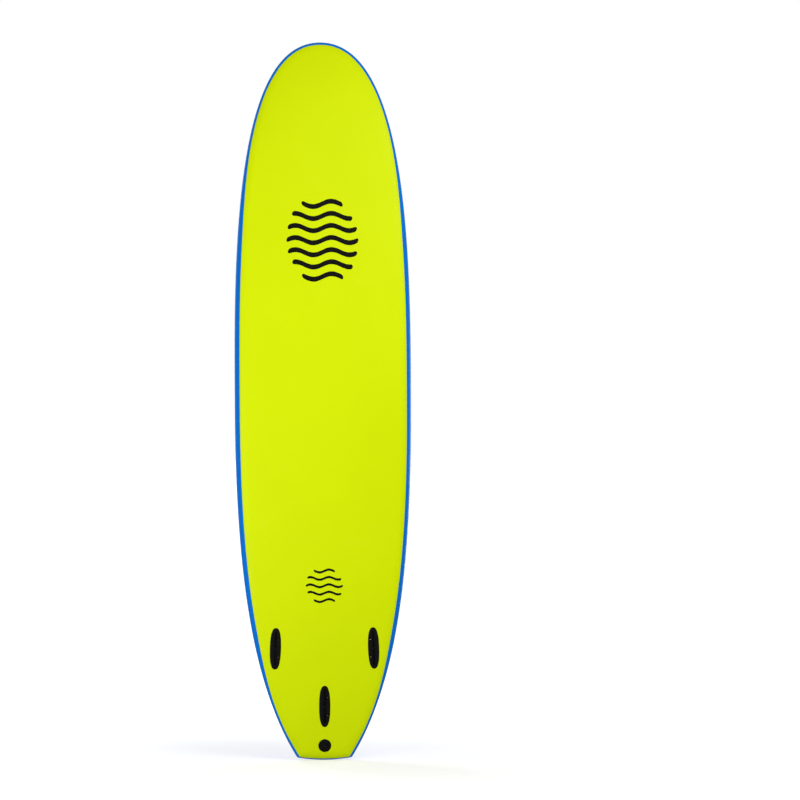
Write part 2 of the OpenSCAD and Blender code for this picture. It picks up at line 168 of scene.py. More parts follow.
class Graph:
    """Adds nodes to one tree and links their sockets."""

    MIX_COLOURS = (6, 7)
    MIXED_COLOUR = 2

    def __init__(self, tree: bpy.types.NodeTree) -> None:
        """Wraps a node tree."""
        self.tree = tree

    def node(
        self, kind: str, inputs: Optional[Inputs] = None, **settings: str
    ) -> bpy.types.Node:
        """Adds one node of any type.

        Args:
            kind: the node's type.
            inputs: values or links, by the socket's name or place.
            settings: its properties, set first.

        Returns:
            The node.
        """
        made = self.tree.nodes.new(kind)
        for name, value in settings.items():
            setattr(made, name, value)
        for key, value in (inputs or {}).items():
            self.feed(made.inputs[key], value)
        return made

    def feed(self, socket: bpy.types.NodeSocket, value: object) -> None:
        """Links a Value or a socket to a socket, or sets the socket's own value.

        Args:
            socket: the input to feed.
            value: a Value, an output socket or a plain value.
        """
        source = value.socket if isinstance(value, Value) else value
        if isinstance(source, bpy.types.NodeSocket):
            self.tree.links.new(source, socket)
        else:
            socket.default_value = source

    def value(
        self,
        kind: str,
        inputs: Optional[Inputs] = None,
        output: Union[int, str] = 0,
        **settings: str,
    ) -> Value:
        """Adds a node, as node does, and wraps the output of a name or place."""
        return Value(self, self.node(kind, inputs, **settings).outputs[output])

    def math(self, operation: str, *values: Number) -> Value:
        """Adds a Math node on one or two values."""
        return self.value("ShaderNodeMath", dict(enumerate(values)), operation=operation)

    def mix(self, factor: Number, low: object, high: object) -> Value:
        """Mixes two colours.

        Args:
            factor: 0 gives low and 1 gives high.
            low: a colour of three numbers, or a Value.
            high: a colour of three numbers, or a Value.

        Returns:
            The mixed colour.
        """
        inputs = {0: factor}
        for place, colour in zip(self.MIX_COLOURS, (low, high)):
            inputs[place] = (*colour, 1.0) if isinstance(colour, tuple) else colour
        return self.value("ShaderNodeMix", inputs, self.MIXED_COLOUR, data_type="RGBA")

    def mix_shader(
        self, factor: Value, low: bpy.types.Node, high: bpy.types.Node
    ) -> bpy.types.NodeSocket:
        """Mixes two shader nodes: a factor of 0 gives low and 1 gives high."""
        inputs = {0: factor, 1: low.outputs[0], 2: high.outputs[0]}
        return self.node("ShaderNodeMixShader", inputs).outputs[0]

    def noise(self, place: Value, pitch: float, detail: float) -> Value:
        """Cloudy noise from 0 to 1.

        Args:
            place: the coordinates.
            pitch: the size of its blotches, in metres.
            detail: how many finer layers it has.

        Returns:
            The noise.
        """
        inputs = {"Vector": place, "Scale": 1.0 / pitch, "Detail": detail}
        return self.value("ShaderNodeTexNoise", inputs, "Fac")

    def cells(self, place: Value, pitch: float, feature: str) -> Value:
        """Distances in a pattern of cells.

        Args:
            place: the coordinates.
            pitch: the size of a cell, in metres.
            feature: the Voronoi feature, such as DISTANCE_TO_EDGE.

        Returns:
            The distance, in cells.
        """
        inputs = {"Vector": place, "Scale": 1.0 / pitch}
        return self.value("ShaderNodeTexVoronoi", inputs, "Distance", feature=feature)

    def stretched(self, place: Value, through: float = 1.0, along: float = 1.0) -> Value:
        """Coordinates scaled in Y, through the board, and in Z, along it."""
        inputs = {"Vector": place, "Scale": (1.0, through, along)}
        return self.value("ShaderNodeMapping", inputs)

    def parts(self, vector: Value) -> tuple[Value, Value, Value]:
        """The X, Y and Z of a vector."""
        split = self.node("ShaderNodeSeparateXYZ", {0: vector})
        return tuple(Value(self, out) for out in split.outputs)


# ---------------------------------------------------------------- finishes


@dataclass(frozen=True)
class Finish:
    """A procedural surface that reads Object coordinates."""

    name: str
    colour: Colour
    roughness: float
    specular: float = 0.5
    metallic: float = 0.0
    relief: float = 0.0
    tone: Span = (1.0, 1.0)

    def material(self) -> bpy.types.Material:
        """Builds the material on first use.

        Returns:
            The material.
        """
        made = bpy.data.materials.get(self.name)
        if made is None:
            made = bpy.data.materials.new(self.name)
            made.use_nodes = True
            graph = Graph(made.node_tree)
            place = graph.value("ShaderNodeTexCoord", output="Object")
            colour, roughness, height = self.surface(graph, place)
            bump = {"Height": height, "Distance": self.relief, "Strength": 1.0}
            fed = {
                "Specular IOR Level": self.specular,
                "Metallic": self.metallic,
                "Base Color": colour,
                "Roughness": roughness,
                "Normal": graph.value("ShaderNodeBump", bump),
            }
            for name, value in fed.items():
                graph.feed(made.node_tree.nodes["Principled BSDF"].inputs[name], value)
        return made

    def surface(self, graph: Graph, place: Value) -> Surface:
        """Builds the nodes of the surface.

        Args:
            graph: the material's graph.
            place: Object coordinates.

        Returns:
            The colour, the roughness, and the height from 0 to 1 over the relief's depth.
        """
        raise NotImplementedError

    def shade(self, share: float) -> Colour:
        """The finish's colour made darker or lighter by a share."""
        return tuple(min(1.0, part * share) for part in self.colour)

    def toned(self, graph: Graph, mask: Value) -> Value:
        """The finish's colour, from its dark share where the mask is 0 to its light one."""
        return graph.mix(mask, *(self.shade(share) for share in self.tone))


@dataclass(frozen=True)
class FoamSkin(Finish):
    """Closed-cell foam sheet with a fine pebbled grain, and painted shade in the gaps between the pebbles."""

    relief: float = 0.11 * MM
    tone: Span = (0.93, 1.07)
    pebble: float = 2.4 * MM
    pit: Span = (0.1, 0.8)
    pit_depth: float = 0.8
    # The crease fields paint shade into the gaps between the pebbles.
    crease: Span = (0.42, 0.75)
    crease_shadow_share: float = 0.35
    crease_shadow_level: float = 0.8
    pore: float = 0.7 * MM
    pore_depth: float = 0.2
    blotch: float = 160 * MM
    blotch_gloss: float = 0.1
    mark: float = 42 * MM
    mark_stretch: float = 0.35
    mark_span: Span = (0.56, 0.74)
    mark_share: float = 0.12
    mark_shade: float = 1.25
    mark_gloss: float = 0.08

    def surface(self, graph: Graph, place: Value) -> Surface:
        """Pebbles, painted shade in the gaps between them, faint blotches and soft handling marks.

        Args:
            graph: the material's graph.
            place: Object coordinates.

        Returns:
            The colour, the roughness and the height.
        """
        pebbles = graph.cells(place, self.pebble, "SMOOTH_F1")
        pores = graph.noise(place, self.pore, 1.0)
        cloud = graph.noise(place, self.blotch, 3.0)
        smudge = graph.noise(graph.stretched(place, along=self.mark_stretch), self.mark, 4.0)
        marks = smudge.step(*self.mark_span) * 0.5
        # Painted shade: the gaps between the pebbles are darkened where shade would fall in them.
        painted_crease_shade = pebbles.step(*self.crease) * self.crease_shadow_share
        tone_and_painted_shade = graph.mix(painted_crease_shade, self.toned(graph, cloud), self.shade(self.crease_shadow_level))
        # Lighter handling marks laid over the tone that carries the painted shade.
        wear_and_painted_shade = graph.mix(marks * self.mark_share, tone_and_painted_shade, self.shade(self.mark_shade))
        roughness = self.roughness + cloud.swing(self.blotch_gloss) + marks * self.mark_gloss
        height = 1.0 - pebbles.step(*self.pit) * self.pit_depth + pores * self.pore_depth
        return wear_and_painted_shade, roughness, height


@dataclass(frozen=True)
class SlickSheet(Finish):
    """Smooth plastic sheet with orange peel and faint lengthwise scuffs."""

    relief: float = 0.05 * MM
    tone: Span = (0.965, 1.035)
    peel: float = 7 * MM
    peel_depth: float = 0.25
    peel_gloss: float = 0.06
    wave: float = 90 * MM
    wave_depth: float = 2.4
    blotch: float = 260 * MM
    scratch: float = 1.1 * MM
    scratch_stretch: float = 0.02
    scratch_span: Span = (0.68, 0.74)
    patch: float = 130 * MM
    patch_span: Span = (0.5, 0.7)
    scuff_colour: Colour = (0.72, 0.8, 0.25)
    scuff_share: float = 0.16
    scuff_gloss: float = 0.2

    def surface(self, graph: Graph, place: Value) -> Surface:
        """Orange peel, slow waves from the core's beads, and scuffs.

        Args:
            graph: the material's graph.
            place: Object coordinates.

        Returns:
            The colour, the roughness and the height.
        """
        peel = graph.noise(place, self.peel, 2.0)
        waves = graph.noise(place, self.wave, 2.0)
        cloud = graph.noise(place, self.blotch, 2.0)
        along = graph.stretched(place, along=self.scratch_stretch)
        lines = graph.noise(along, self.scratch, 1.0).step(*self.scratch_span)
        scuffs = lines * graph.noise(place, self.patch, 2.0).step(*self.patch_span)
        tone = self.toned(graph, cloud)
        colour = graph.mix(scuffs * self.scuff_share, tone, self.scuff_colour)
        gloss = scuffs * self.scuff_gloss
        roughness = self.roughness + peel.swing(self.peel_gloss) + gloss
        return colour, roughness, peel * self.peel_depth + waves * self.wave_depth - gloss


@dataclass(frozen=True)
class MouldedNylon(Finish):
    """Black nylon with a spark-eroded mould texture."""

    relief: float = 0.03 * MM
    tone: Span = (0.75, 1.3)
    spark: float = 0.45 * MM
    flow: float = 14 * MM
    flow_gloss: float = 0.12
    rub: float = 2.2 * MM
    rub_stretch: float = 0.3
    rub_span: Span = (0.6, 0.78)
    rub_share: float = 0.3
    rub_shade: float = 2.6
    rub_gloss: float = 0.1

    def surface(self, graph: Graph, place: Value) -> Surface:
        """Mould texture, flow clouds and a few rubbed spots.

        Args:
            graph: the material's graph.
            place: Object coordinates.

        Returns:
            The colour, the roughness and the height.
        """
        spark = graph.noise(place, self.spark, 2.0)
        flow = graph.noise(place, self.flow, 3.0)
        along = graph.stretched(place, along=self.rub_stretch)
        rubs = graph.noise(along, self.rub, 3.0).step(*self.rub_span)
        tone = self.toned(graph, flow)
        colour = graph.mix(rubs * self.rub_share, tone, self.shade(self.rub_shade))
        roughness = self.roughness + flow.swing(self.flow_gloss) - rubs * self.rub_gloss
        return colour, roughness, spark


@dataclass(frozen=True)
class Ink(Finish):
    """Screen-printed ink, slightly uneven at the edge of a squeegee's pull."""

    relief: float = 0.01 * MM
    tone: Span = (0.88, 1.12)
    mottle: float = 1.4 * MM
    pull: float = 9 * MM
    pull_stretch: float = 0.1
    pull_gloss: float = 0.1

    def surface(self, graph: Graph, place: Value) -> Surface:
        """Fine mottling of the ink film.

        Args:
            graph: the material's graph.
            place: Object coordinates.

        Returns:
            The colour, the roughness and the height.
        """
        film = graph.noise(place, self.mottle, 3.0)
        pull = graph.noise(graph.stretched(place, along=self.pull_stretch), self.pull, 2.0)
        colour = self.toned(graph, film * 0.5 + pull * 0.5)
        return colour, self.roughness + pull.swing(self.pull_gloss), film


@dataclass(frozen=True)
class WorkedMetal(Finish):
    """Machined metal with fine tool marks across one direction."""

    relief: float = 0.008 * MM
    tone: Span = (0.86, 1.1)
    mark: float = 0.9 * MM
    mark_squeeze: float = 14.0
    mark_gloss: float = 0.16
    tarnish: float = 3 * MM
    tarnish_gloss: float = 0.06

    def surface(self, graph: Graph, place: Value) -> Surface:
        """Tool marks and a slight tarnish.

        Args:
            graph: the material's graph.
            place: Object coordinates.

        Returns:
            The colour, the roughness and the height.
        """
        across = graph.stretched(place, through=self.mark_squeeze)
        lines = graph.noise(across, self.mark, 2.0)
        stain = graph.noise(place, self.tarnish, 3.0)
        gloss = lines.swing(self.mark_gloss)
        roughness = self.roughness + gloss + stain * self.tarnish_gloss
        return self.toned(graph, stain), roughness, lines


@dataclass(frozen=True)
class GlassWeave(Finish):
    """Woven glass cloth wetted out with resin."""

    relief: float = 0.06 * MM
    tone: Span = (0.82, 1.12)
    yarn: float = 1.6 * MM
    yarn_share: float = 0.6
    yarn_gloss: float = 0.05
    pool: float = 30 * MM
    pool_share: float = 0.4
    pool_gloss: float = 0.12

    def surface(self, graph: Graph, place: Value) -> Surface:
        """Plain weave across X and Z under clear resin.

        Args:
            graph: the material's graph.
            place: Object coordinates.

        Returns:
            The colour, the roughness and the height.
        """
        across, _, along = graph.parts(place)
        turns = math.pi / self.yarn
        weave = (across * turns).sine() * (along * turns).sine() * 0.5 + 0.5
        resin = graph.noise(place, self.pool, 3.0)
        colour = self.toned(graph, weave * self.yarn_share + resin * self.pool_share)
        roughness = self.roughness + resin * self.pool_gloss - weave * self.yarn_gloss
        return colour, roughness, weave


@dataclass(frozen=True)
class BeadFoam(Finish):
    """Expanded foam, a packing of beads welded by steam."""

    relief: float = 0.25 * MM
    tone: Span = (0.78, 1.02)
    bead: float = 4.2 * MM
    joint_dark: Span = (0.0, 0.12)
    joint_round: Span = (0.0, 0.3)
    joint_depth: float = 0.85
    pore: float = 0.9 * MM
    pore_depth: float = 0.15
    pore_gloss: float = 0.1

    def surface(self, graph: Graph, place: Value) -> Surface:
        """Beads with darker joints between them.

        Args:
            graph: the material's graph.
            place: Object coordinates.

        Returns:
            The colour, the roughness and the height.
        """
        joint = graph.cells(place, self.bead, "DISTANCE_TO_EDGE")
        pores = graph.noise(place, self.pore, 2.0)
        colour = self.toned(graph, joint.step(*self.joint_dark))
        height = joint.step(*self.joint_round) * self.joint_depth + pores * self.pore_depth
        return colour, self.roughness + pores.swing(self.pore_gloss), height


@dataclass(frozen=True)
class PlyGrain(Finish):
    """Plywood strip: three plies with grain that runs lengthwise."""

    relief: float = 0.05 * MM
    tone: Span = (0.66, 1.2)
    ply: float = 1.3 * MM
    glue_span: Span = (0.85, 1.0)
    glue_share: float = 0.5
    glue_shade: float = 0.4
    fibre: float = 1.2 * MM
    fibre_stretch: float = 0.03
    fibre_gloss: float = 0.15

    def surface(self, graph: Graph, place: Value) -> Surface:
        """Long grain, and the plies' glue lines on the cut edges.

        Args:
            graph: the material's graph.
            place: Object coordinates.

        Returns:
            The colour, the roughness and the height.
        """
        across, _, _ = graph.parts(place)
        grain = graph.noise(graph.stretched(place, along=self.fibre_stretch), self.fibre, 4.0)
        glue = (across * (math.pi / self.ply)).sine().step(*self.glue_span)
        tone = self.toned(graph, grain)
        colour = graph.mix(glue * self.glue_share, tone, self.shade(self.glue_shade))
        return colour, self.roughness + grain * self.fibre_gloss, grain


@dataclass(frozen=True)
class Rubber(Finish):
    """Black sealing rubber with a dusty bloom."""

    relief: float = 0.02 * MM
    grain: float = 0.5 * MM
    bloom: float = 6 * MM
    bloom_span: Span = (0.5, 0.8)
    bloom_share: float = 0.4
    bloom_shade: float = 2.2
    bloom_gloss: float = 0.1

    def surface(self, graph: Graph, place: Value) -> Surface:
        """A fine grain and a pale bloom.

        Args:
            graph: the material's graph.
            place: Object coordinates.

        Returns:
            The colour, the roughness and the height.
        """
        grain = graph.noise(place, self.grain, 2.0)
        bloom = graph.noise(place, self.bloom, 3.0).step(*self.bloom_span)
        share = bloom * self.bloom_share
        colour = graph.mix(share, self.colour, self.shade(self.bloom_shade))
        return colour, self.roughness + bloom * self.bloom_gloss, grain


class Slot(Enum):
    """The record's material slots that the visible pieces use."""

    DECK = "deck_foam"
    SLICK = "slick"
    NYLON = "black_nylon"
    STEEL = "stainless"
    COATED = "coated_steel"


DECK_FOAM = FoamSkin("blue_foam_skin", (0.0004, 0.191, 0.742), 0.50, 0.08)
LIME_SLICK = SlickSheet("lime_slick_sheet", (0.705, 0.865, 0.0002), 0.38, 0.06)
BLACK_NYLON = MouldedNylon("black_moulded_nylon", (0.0022, 0.0018, 0.0020), 0.36, 0.06)
BLACK_INK = Ink("black_print_ink", (0.0022, 0.0022, 0.0018), 0.42, 0.05)
LIME_INK = Ink("lime_print_ink", (0.545, 0.800, 0.070), 0.42, 0.2)
STAINLESS = WorkedMetal("stainless_steel", (0.60, 0.61, 0.62), 0.28, metallic=1.0)
COATED_STEEL = WorkedMetal(
    "black_coated_steel", (0.0090, 0.0088, 0.0092), 0.34, metallic=1.0
)
SOLID_FINISHES: dict[str, Finish] = {
    "laminate": GlassWeave("glass_laminate", (0.66, 0.76, 0.56), 0.24),
    "core": BeadFoam("bead_foam_core", (0.86, 0.86, 0.83), 0.75),
    "stringer": PlyGrain("plywood_stringer", (0.56, 0.33, 0.12), 0.5),
    "fin_block": BeadFoam("dense_foam_block", (0.78, 0.68, 0.38), 0.7, bead=1.4 * MM),
    "leash_bush": WorkedMetal("turned_brass", (0.68, 0.46, 0.14), 0.3, metallic=1.0),
    "leash_seal": Rubber("seal_rubber", (0.012, 0.012, 0.012), 0.7),
}


# ---------------------------------------------------------------- mesh helpers


def make_object(
    name: str, mesh: bpy.types.Mesh, finish: Optional[Finish] = None
) -> bpy.types.Object:
    """Puts a mesh in the scene.

    Args:
        name: the object's name.
        mesh: its mesh, placed in the row frame.
        finish: its finish, or None for a helper.

    Returns:
        The new object.
    """
    made = bpy.data.objects.new(name, mesh)
    bpy.context.scene.collection.objects.link(made)
    if finish is not None:
        mesh.materials.clear()
        mesh.materials.append(finish.material())
    return made


def clean(
    mesh: bpy.types.Mesh, merge: float, shrunk: Optional[float] = None, turn: bool = True
) -> None:
    """Merges a mesh's doubles and turns its faces outwards.

    Args:
        mesh: the mesh.
        merge: vertices closer than this become one.
        shrunk: edges shorter than this are dissolved, if given.
        turn: whether its normals are recalculated.
    """
    work = bmesh.new()
    work.from_mesh(mesh)
    bmesh.ops.remove_doubles(work, verts=work.verts, dist=merge)
    if shrunk is not None:
        bmesh.ops.dissolve_degenerate(work, edges=work.edges, dist=shrunk)
    if turn:
        bmesh.ops.recalc_face_normals(work, faces=work.faces)
    work.to_mesh(mesh)
    work.free()


def mesh_of(
    name: str, points: np.ndarray, faces: Iterable[Sequence[int]], merge: float = FINE
) -> bpy.types.Mesh:
    """Makes a mesh with its doubles merged and its normals outwards.

    Args:
        name: the mesh's name.
        points: one row for each vertex.
        faces: the vertices of each face.
        merge: vertices closer than this become one.

    Returns:
        The mesh.
    """
    mesh = bpy.data.meshes.new(name)
    mesh.from_pydata([tuple(p) for p in points], [], [list(f) for f in faces])
    clean(mesh, merge, merge)
    return mesh


def grid_faces(rows: int, columns: int, wrap_rows: bool, wrap_columns: bool) -> list[list[int]]:
    """The quads of a grid of points.

    Args:
        rows: how many rows of points there are.
        columns: how many points a row has.
        wrap_rows: whether the last row joins the first.
        wrap_columns: whether the last point of a row joins its first.

    Returns:
        The faces.
    """
    faces = []
    for r in range(rows if wrap_rows else rows - 1):
        near, far = r * columns, (r + 1) % rows * columns
        for c in range(columns if wrap_columns else columns - 1):
            c2 = (c + 1) % columns
            faces.append([near + c, near + c2, far + c2, far + c])
    return faces


def smooth(mesh: bpy.types.Mesh, degrees: float) -> None:
    """Shades a mesh smooth, and keeps edges sharper than an angle crisp.

    Args:
        mesh: the mesh.
        degrees: the angle.
    """
    mesh.polygons.foreach_set("use_smooth", [True] * len(mesh.polygons))
    mesh.set_sharp_from_angle(angle=math.radians(degrees))
    mesh.update()


def settle(obj: bpy.types.Object) -> None:
    """Applies an object's modifiers, which leaves a plain mesh.

    Args:
        obj: the object.
    """
    bpy.context.view_layer.update()
    graph = bpy.context.evaluated_depsgraph_get()
    done = bpy.data.meshes.new_from_object(obj.evaluated_get(graph))
    obj.modifiers.clear()
    obj.data = done


def cut(obj: bpy.types.Object, cutters: Sequence[bpy.types.Mesh]) -> None:
    """Cuts meshes out of an object, and cleans what the cuts leave.

    Args:
        obj: the object, a closed mesh.
        cutters: closed meshes in the same frame.
    """
    tools = [make_object(f"tool_{n}", mesh) for n, mesh in enumerate(cutters)]
    for tool in tools:
        cutting = obj.modifiers.new("cut", "BOOLEAN")
        cutting.operation = "DIFFERENCE"
        cutting.solver = "EXACT"
        cutting.object = tool
    settle(obj)
    for tool in tools:
        bpy.data.objects.remove(tool)
    clean(obj.data, COARSE, FINE, turn=False)


def lathe(
    name: str, profile: Sequence[tuple[float, float]], frame_at: Matrix, steps: int
) -> bpy.types.Mesh:
    """Turns a profile round the local Z axis.

    Args:
        name: the mesh's name.
        profile: (radius, height) points, with both ends on the axis.
        frame_at: from the local frame to the row frame.
        steps: how many steps go round.

    Returns:
        The mesh.
    """
    rows = []
    for a in np.arange(steps) * 2 * math.pi / steps:
        rows += [frame_at @ Vector((r * math.cos(a), r * math.sin(a), z)) for r, z in profile]
    faces = grid_faces(steps, len(profile), True, False)
    return mesh_of(name, np.array(rows), faces)


def rounded(
    corners: Sequence[tuple[float, float, float]], steps: int = 5
) -> list[tuple[float, float]]:
    """Rounds the corners of a profile.

    Args:
        corners: (radius, height, rounding) at each corner.
        steps: how many steps a rounding has.

    Returns:
        (radius, height) points.
    """
    points: list[tuple[float, float]] = []
    for k, (r, z, size) in enumerate(corners):
        here = np.array([r, z])
        if size <= 0 or k in (0, len(corners) - 1):
            points.append((r, z))
            continue
        ends = []
        for other in (corners[k - 1], corners[k + 1]):
            way = np.array(other[:2]) - here
            ends.append(here + way / np.linalg.norm(way) * size)
        curve = bezier(np.array([ends[0], here, ends[1]]), np.linspace(0, 1, steps + 1))
        points += [(float(x), float(y)) for x, y in curve]
    return points


def placed(rings: Sequence[np.ndarray], frame_at: Matrix) -> np.ndarray:
    """The points of all rings, moved from a local frame to the row frame."""
    return np.array([frame_at @ Vector(p) for ring in rings for p in ring])


def loft(name: str, rings: Sequence[np.ndarray], frame_at: Matrix) -> bpy.types.Mesh:
    """Skins closed rings and caps both ends.

    Args:
        name: the mesh's name.
        rings: equal counts of local points, from one end to the other.
        frame_at: from the local frame to the row frame.

    Returns:
        The mesh.
    """
    count = len(rings[0])
    points = placed(rings, frame_at)
    faces = grid_faces(len(rings), count, False, True)
    faces += [list(range(count)), list(range(len(points) - count, len(points)))]
    return mesh_of(name, points, faces)


def bezier(points: np.ndarray, t: np.ndarray) -> np.ndarray:
    """A quadratic or cubic curve.

    Args:
        points: its three or four control points.
        t: where on the curve, from 0 to 1.

    Returns:
        One point for each t.
    """
    level = [np.broadcast_to(p, (len(t), 2)) for p in points]
    share = t[:, None]
    while len(level) > 1:
        level = [a * (1 - share) + b * share for a, b in zip(level, level[1:])]
    return level[0]


def ease(t: np.ndarray) -> np.ndarray:
    """A smooth step from 0 to 1."""
    c = np.clip(t, 0, 1)
    return c * c * (3 - 2 * c)


def ride(obj: bpy.types.Object, slot: Slot, *nodes: str, body: str = BOARD) -> None:
    """Sets a piece on its body and hides the solids it stands for.

    Args:
        obj: the piece.
        slot: not used.
        nodes: the solids that it replaces.
        body: the body that it rides on.
    """
    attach(obj, body)
    if nodes:
        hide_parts(*nodes)
    log.info("%s rides on %s: %d faces", obj.name, body, len(obj.data.polygons))


# ---------------------------------------------------------------- the board's form


class Face(Enum):
    """The board's two faces, with the Y direction that each looks in."""

    BOTTOM = -1
    DECK = 1


@dataclass(frozen=True)
class BoardForm:
    """Outline, rocker and foil of the board, as the solids have them."""

    length: float
    width: float
    wide_z: float = 1200 * MM
    nose_shoulder: float = 426 * MM
    nose_round: float = 310 * MM
    tail_shoulder: float = 532 * MM
    tail_w: float = 185 * MM
    tail_bulge: float = 8 * MM
    tail_corner: float = 5 * MM
    tail_flare: Span = (159 * MM, 255 * MM)
    nose_rocker: float = 118 * MM
    nose_lift_power: float = 2.7
    tail_rocker: float = 42 * MM
    tail_lift_power: float = 2.1
    flat_z: float = 1050 * MM
    mid_t: float = 86 * MM
    nose_t: float = 30 * MM
    nose_foil_power: float = 1.3
    tail_t: float = 40 * MM
    tail_foil_power: float = 2
    thick_z: float = 1150 * MM
    deck_dome: float = 11 * MM
    deck_rail_w: float = 78 * MM
    deck_rail_power: float = 2.3
    bottom_rail_w: float = 38 * MM
    bottom_rail_power: float = 2.2
    skin_t: float = 6 * MM
    slick_t: float = 2.5 * MM
    border_w: float = 16 * MM
    border_nose_w: float = 8.5 * MM
    border_nose_span: Span = (0.7, 0.88)
    border_tail_w: float = 8.5 * MM
    border_tail_span: Span = (0.06, 0.19)
    border_end_w: float = 4.5 * MM
    border_lap: float = 2 * MM
    edge_ribs: int = 5
    corner_ribs: int = 3
    tail_ribs: int = 13
    nose_ribs: int = 22
    nose_crowding: float = 1.4
    tail_fan: float = 70 * MM
    nose_fan: float = 150 * MM
    fan_step: float = 2 * MM
    apex_share: float = 0.42

    @property
    def last_rib(self) -> int:
        """The place of the rib at the nose."""
        return self.edge_ribs + self.corner_ribs + self.tail_ribs + self.nose_ribs

    def outline(self, u: np.ndarray) -> np.ndarray:
        """The outline's right half.

        Args:
            u: places along it, counted in ribs from the tail's middle.

        Returns:
            (x, z) points.
        """
        corner = np.array([self.tail_w / 2, self.tail_bulge])

        def edge(x: np.ndarray) -> np.ndarray:
            """The tail's bulged edge at each x."""
            return np.stack([x, self.tail_bulge * (x / corner[0]) ** 2], -1)

        flare = np.array(self.tail_flare)
        wide = np.array([self.width / 2, self.wide_z])
        tail = [corner, corner + flare, wide - (0, self.tail_shoulder), wide]
        tip = np.array([0.0, self.length])
        nose = [wide, wide + (0, self.nose_shoulder), tip + (self.nose_round, 0), tip]
        corner_t = self.tail_corner / np.linalg.norm(3 * flare)
        start = corner[0] - self.tail_corner
        corner_in = edge(np.array([start]))[0]
        corner_out = bezier(np.array(tail), np.array([corner_t]))[0]
        a = self.edge_ribs
        b = a + self.corner_ribs
        c = b + self.tail_ribs
        turn = np.clip((u - a) / self.corner_ribs, 0, 1)
        flank = corner_t + (1 - corner_t) * np.clip((u - b) / self.tail_ribs, 0, 1)
        far = 1 - (1 - np.clip((u - c) / self.nose_ribs, 0, 1)) ** self.nose_crowding
        found = edge(start * np.clip(u / a, 0, 1))
        for begin, points in (
            (a, bezier(np.array([corner_in, corner, corner_out]), turn)),
            (b, bezier(np.array(tail), flank)),
            (c, bezier(np.array(nose), far)),
        ):
            found = np.where((u >= begin)[:, None], points, found)
        return found

    def spine(self, u: np.ndarray) -> np.ndarray:
        """Heights at which ribs leave the centre line.

        Args:
            u: the ribs.

        Returns:
            One height for each rib.
        """
        low = self.tail_fan + self.fan_step * u
        high = self.length - self.nose_fan - self.fan_step * (self.last_rib - u)
        return np.minimum(np.maximum(self.outline(u)[:, 1], low), high)

    def reach(self, u: np.ndarray) -> np.ndarray:
        """Lengths of ribs from the centre line to the outline."""
        out = self.outline(u)
        return np.hypot(out[:, 0], out[:, 1] - self.spine(u))

    def border(self, u: np.ndarray) -> np.ndarray:
        """Widths of the deck skin's border on the bottom.

        Args:
            u: the ribs.

        Returns:
            One width for each rib.
        """
        share = self.outline(u)[:, 1] / self.length

        def past(span: Span) -> np.ndarray:
            """A smooth step across a span of the length."""
            return ease((share - span[0]) / (span[1] - span[0]))

        rise = past(self.border_tail_span)
        flank = self.border_tail_w + (self.border_w - self.border_tail_w) * rise
        side = flank + (self.border_nose_w - flank) * past(self.border_nose_span)
        across = ease((u - self.edge_ribs + 1) / (self.corner_ribs + 1))
        return self.border_end_w + (side - self.border_end_w) * across

    def skin_edge(self, u: np.ndarray) -> np.ndarray:
        """Insets of the deck skin's inner edge."""
        return np.minimum(self.skin_t, self.border(u) - self.border_lap)

    def rocker(self, z: np.ndarray) -> np.ndarray:
        """Lift of the bottom above its flattest point.

        Args:
            z: places along the board.

        Returns:
            One lift for each place.
        """
        up = np.clip((z - self.flat_z) / (self.length - self.flat_z), 0, None)
        down = np.clip((self.flat_z - z) / self.flat_z, 0, None)
        nose = self.nose_rocker * up**self.nose_lift_power
        return nose + self.tail_rocker * down**self.tail_lift_power

    def thickness(self, z: np.ndarray) -> np.ndarray:
        """Thickness at the centre line, before rounding.

        Args:
            z: places along the board.

        Returns:
            One thickness for each place.
        """
        up = np.clip((self.length - z) / (self.length - self.thick_z), 0, 1)
        down = np.clip(z / self.thick_z, 0, 1)
        nose = np.sin(math.pi / 2 * up) ** self.nose_foil_power
        tail = np.sin(math.pi / 2 * down) ** self.tail_foil_power
        return np.where(
            z > self.thick_z,
            self.nose_t + (self.mid_t - self.nose_t) * nose,
            self.tail_t + (self.mid_t - self.tail_t) * tail,
        )

    def bottom_y(self, z: np.ndarray) -> np.ndarray:
        """Y of the bottom at the centre line."""
        return self.rocker(z) - self.tail_rocker - self.apex_share * self.tail_t

    def apex_y(self, z: np.ndarray) -> np.ndarray:
        """Y of the rails' outermost line."""
        return self.bottom_y(z) + self.apex_share * self.thickness(z)

    def dome(self, z: np.ndarray) -> np.ndarray:
        """Rise of the deck from its rails to the centre line."""
        return self.deck_dome * self.thickness(z) / self.mid_t

    def deck_y(self, z: np.ndarray) -> np.ndarray:
        """Y of the deck at the centre line."""
        return self.bottom_y(z) + self.thickness(z)

    def rail(self, face: Face, reach: np.ndarray) -> tuple[np.ndarray, float]:
        """The rounded rail of a face.

        Args:
            face: the face.
            reach: lengths of the ribs.

        Returns:
            How far the rail comes in along each rib, and the power of its curve.
        """
        if face is Face.DECK:
            return np.minimum(self.deck_rail_w, 0.5 * reach), self.deck_rail_power
        return np.full_like(reach, self.bottom_rail_w), self.bottom_rail_power

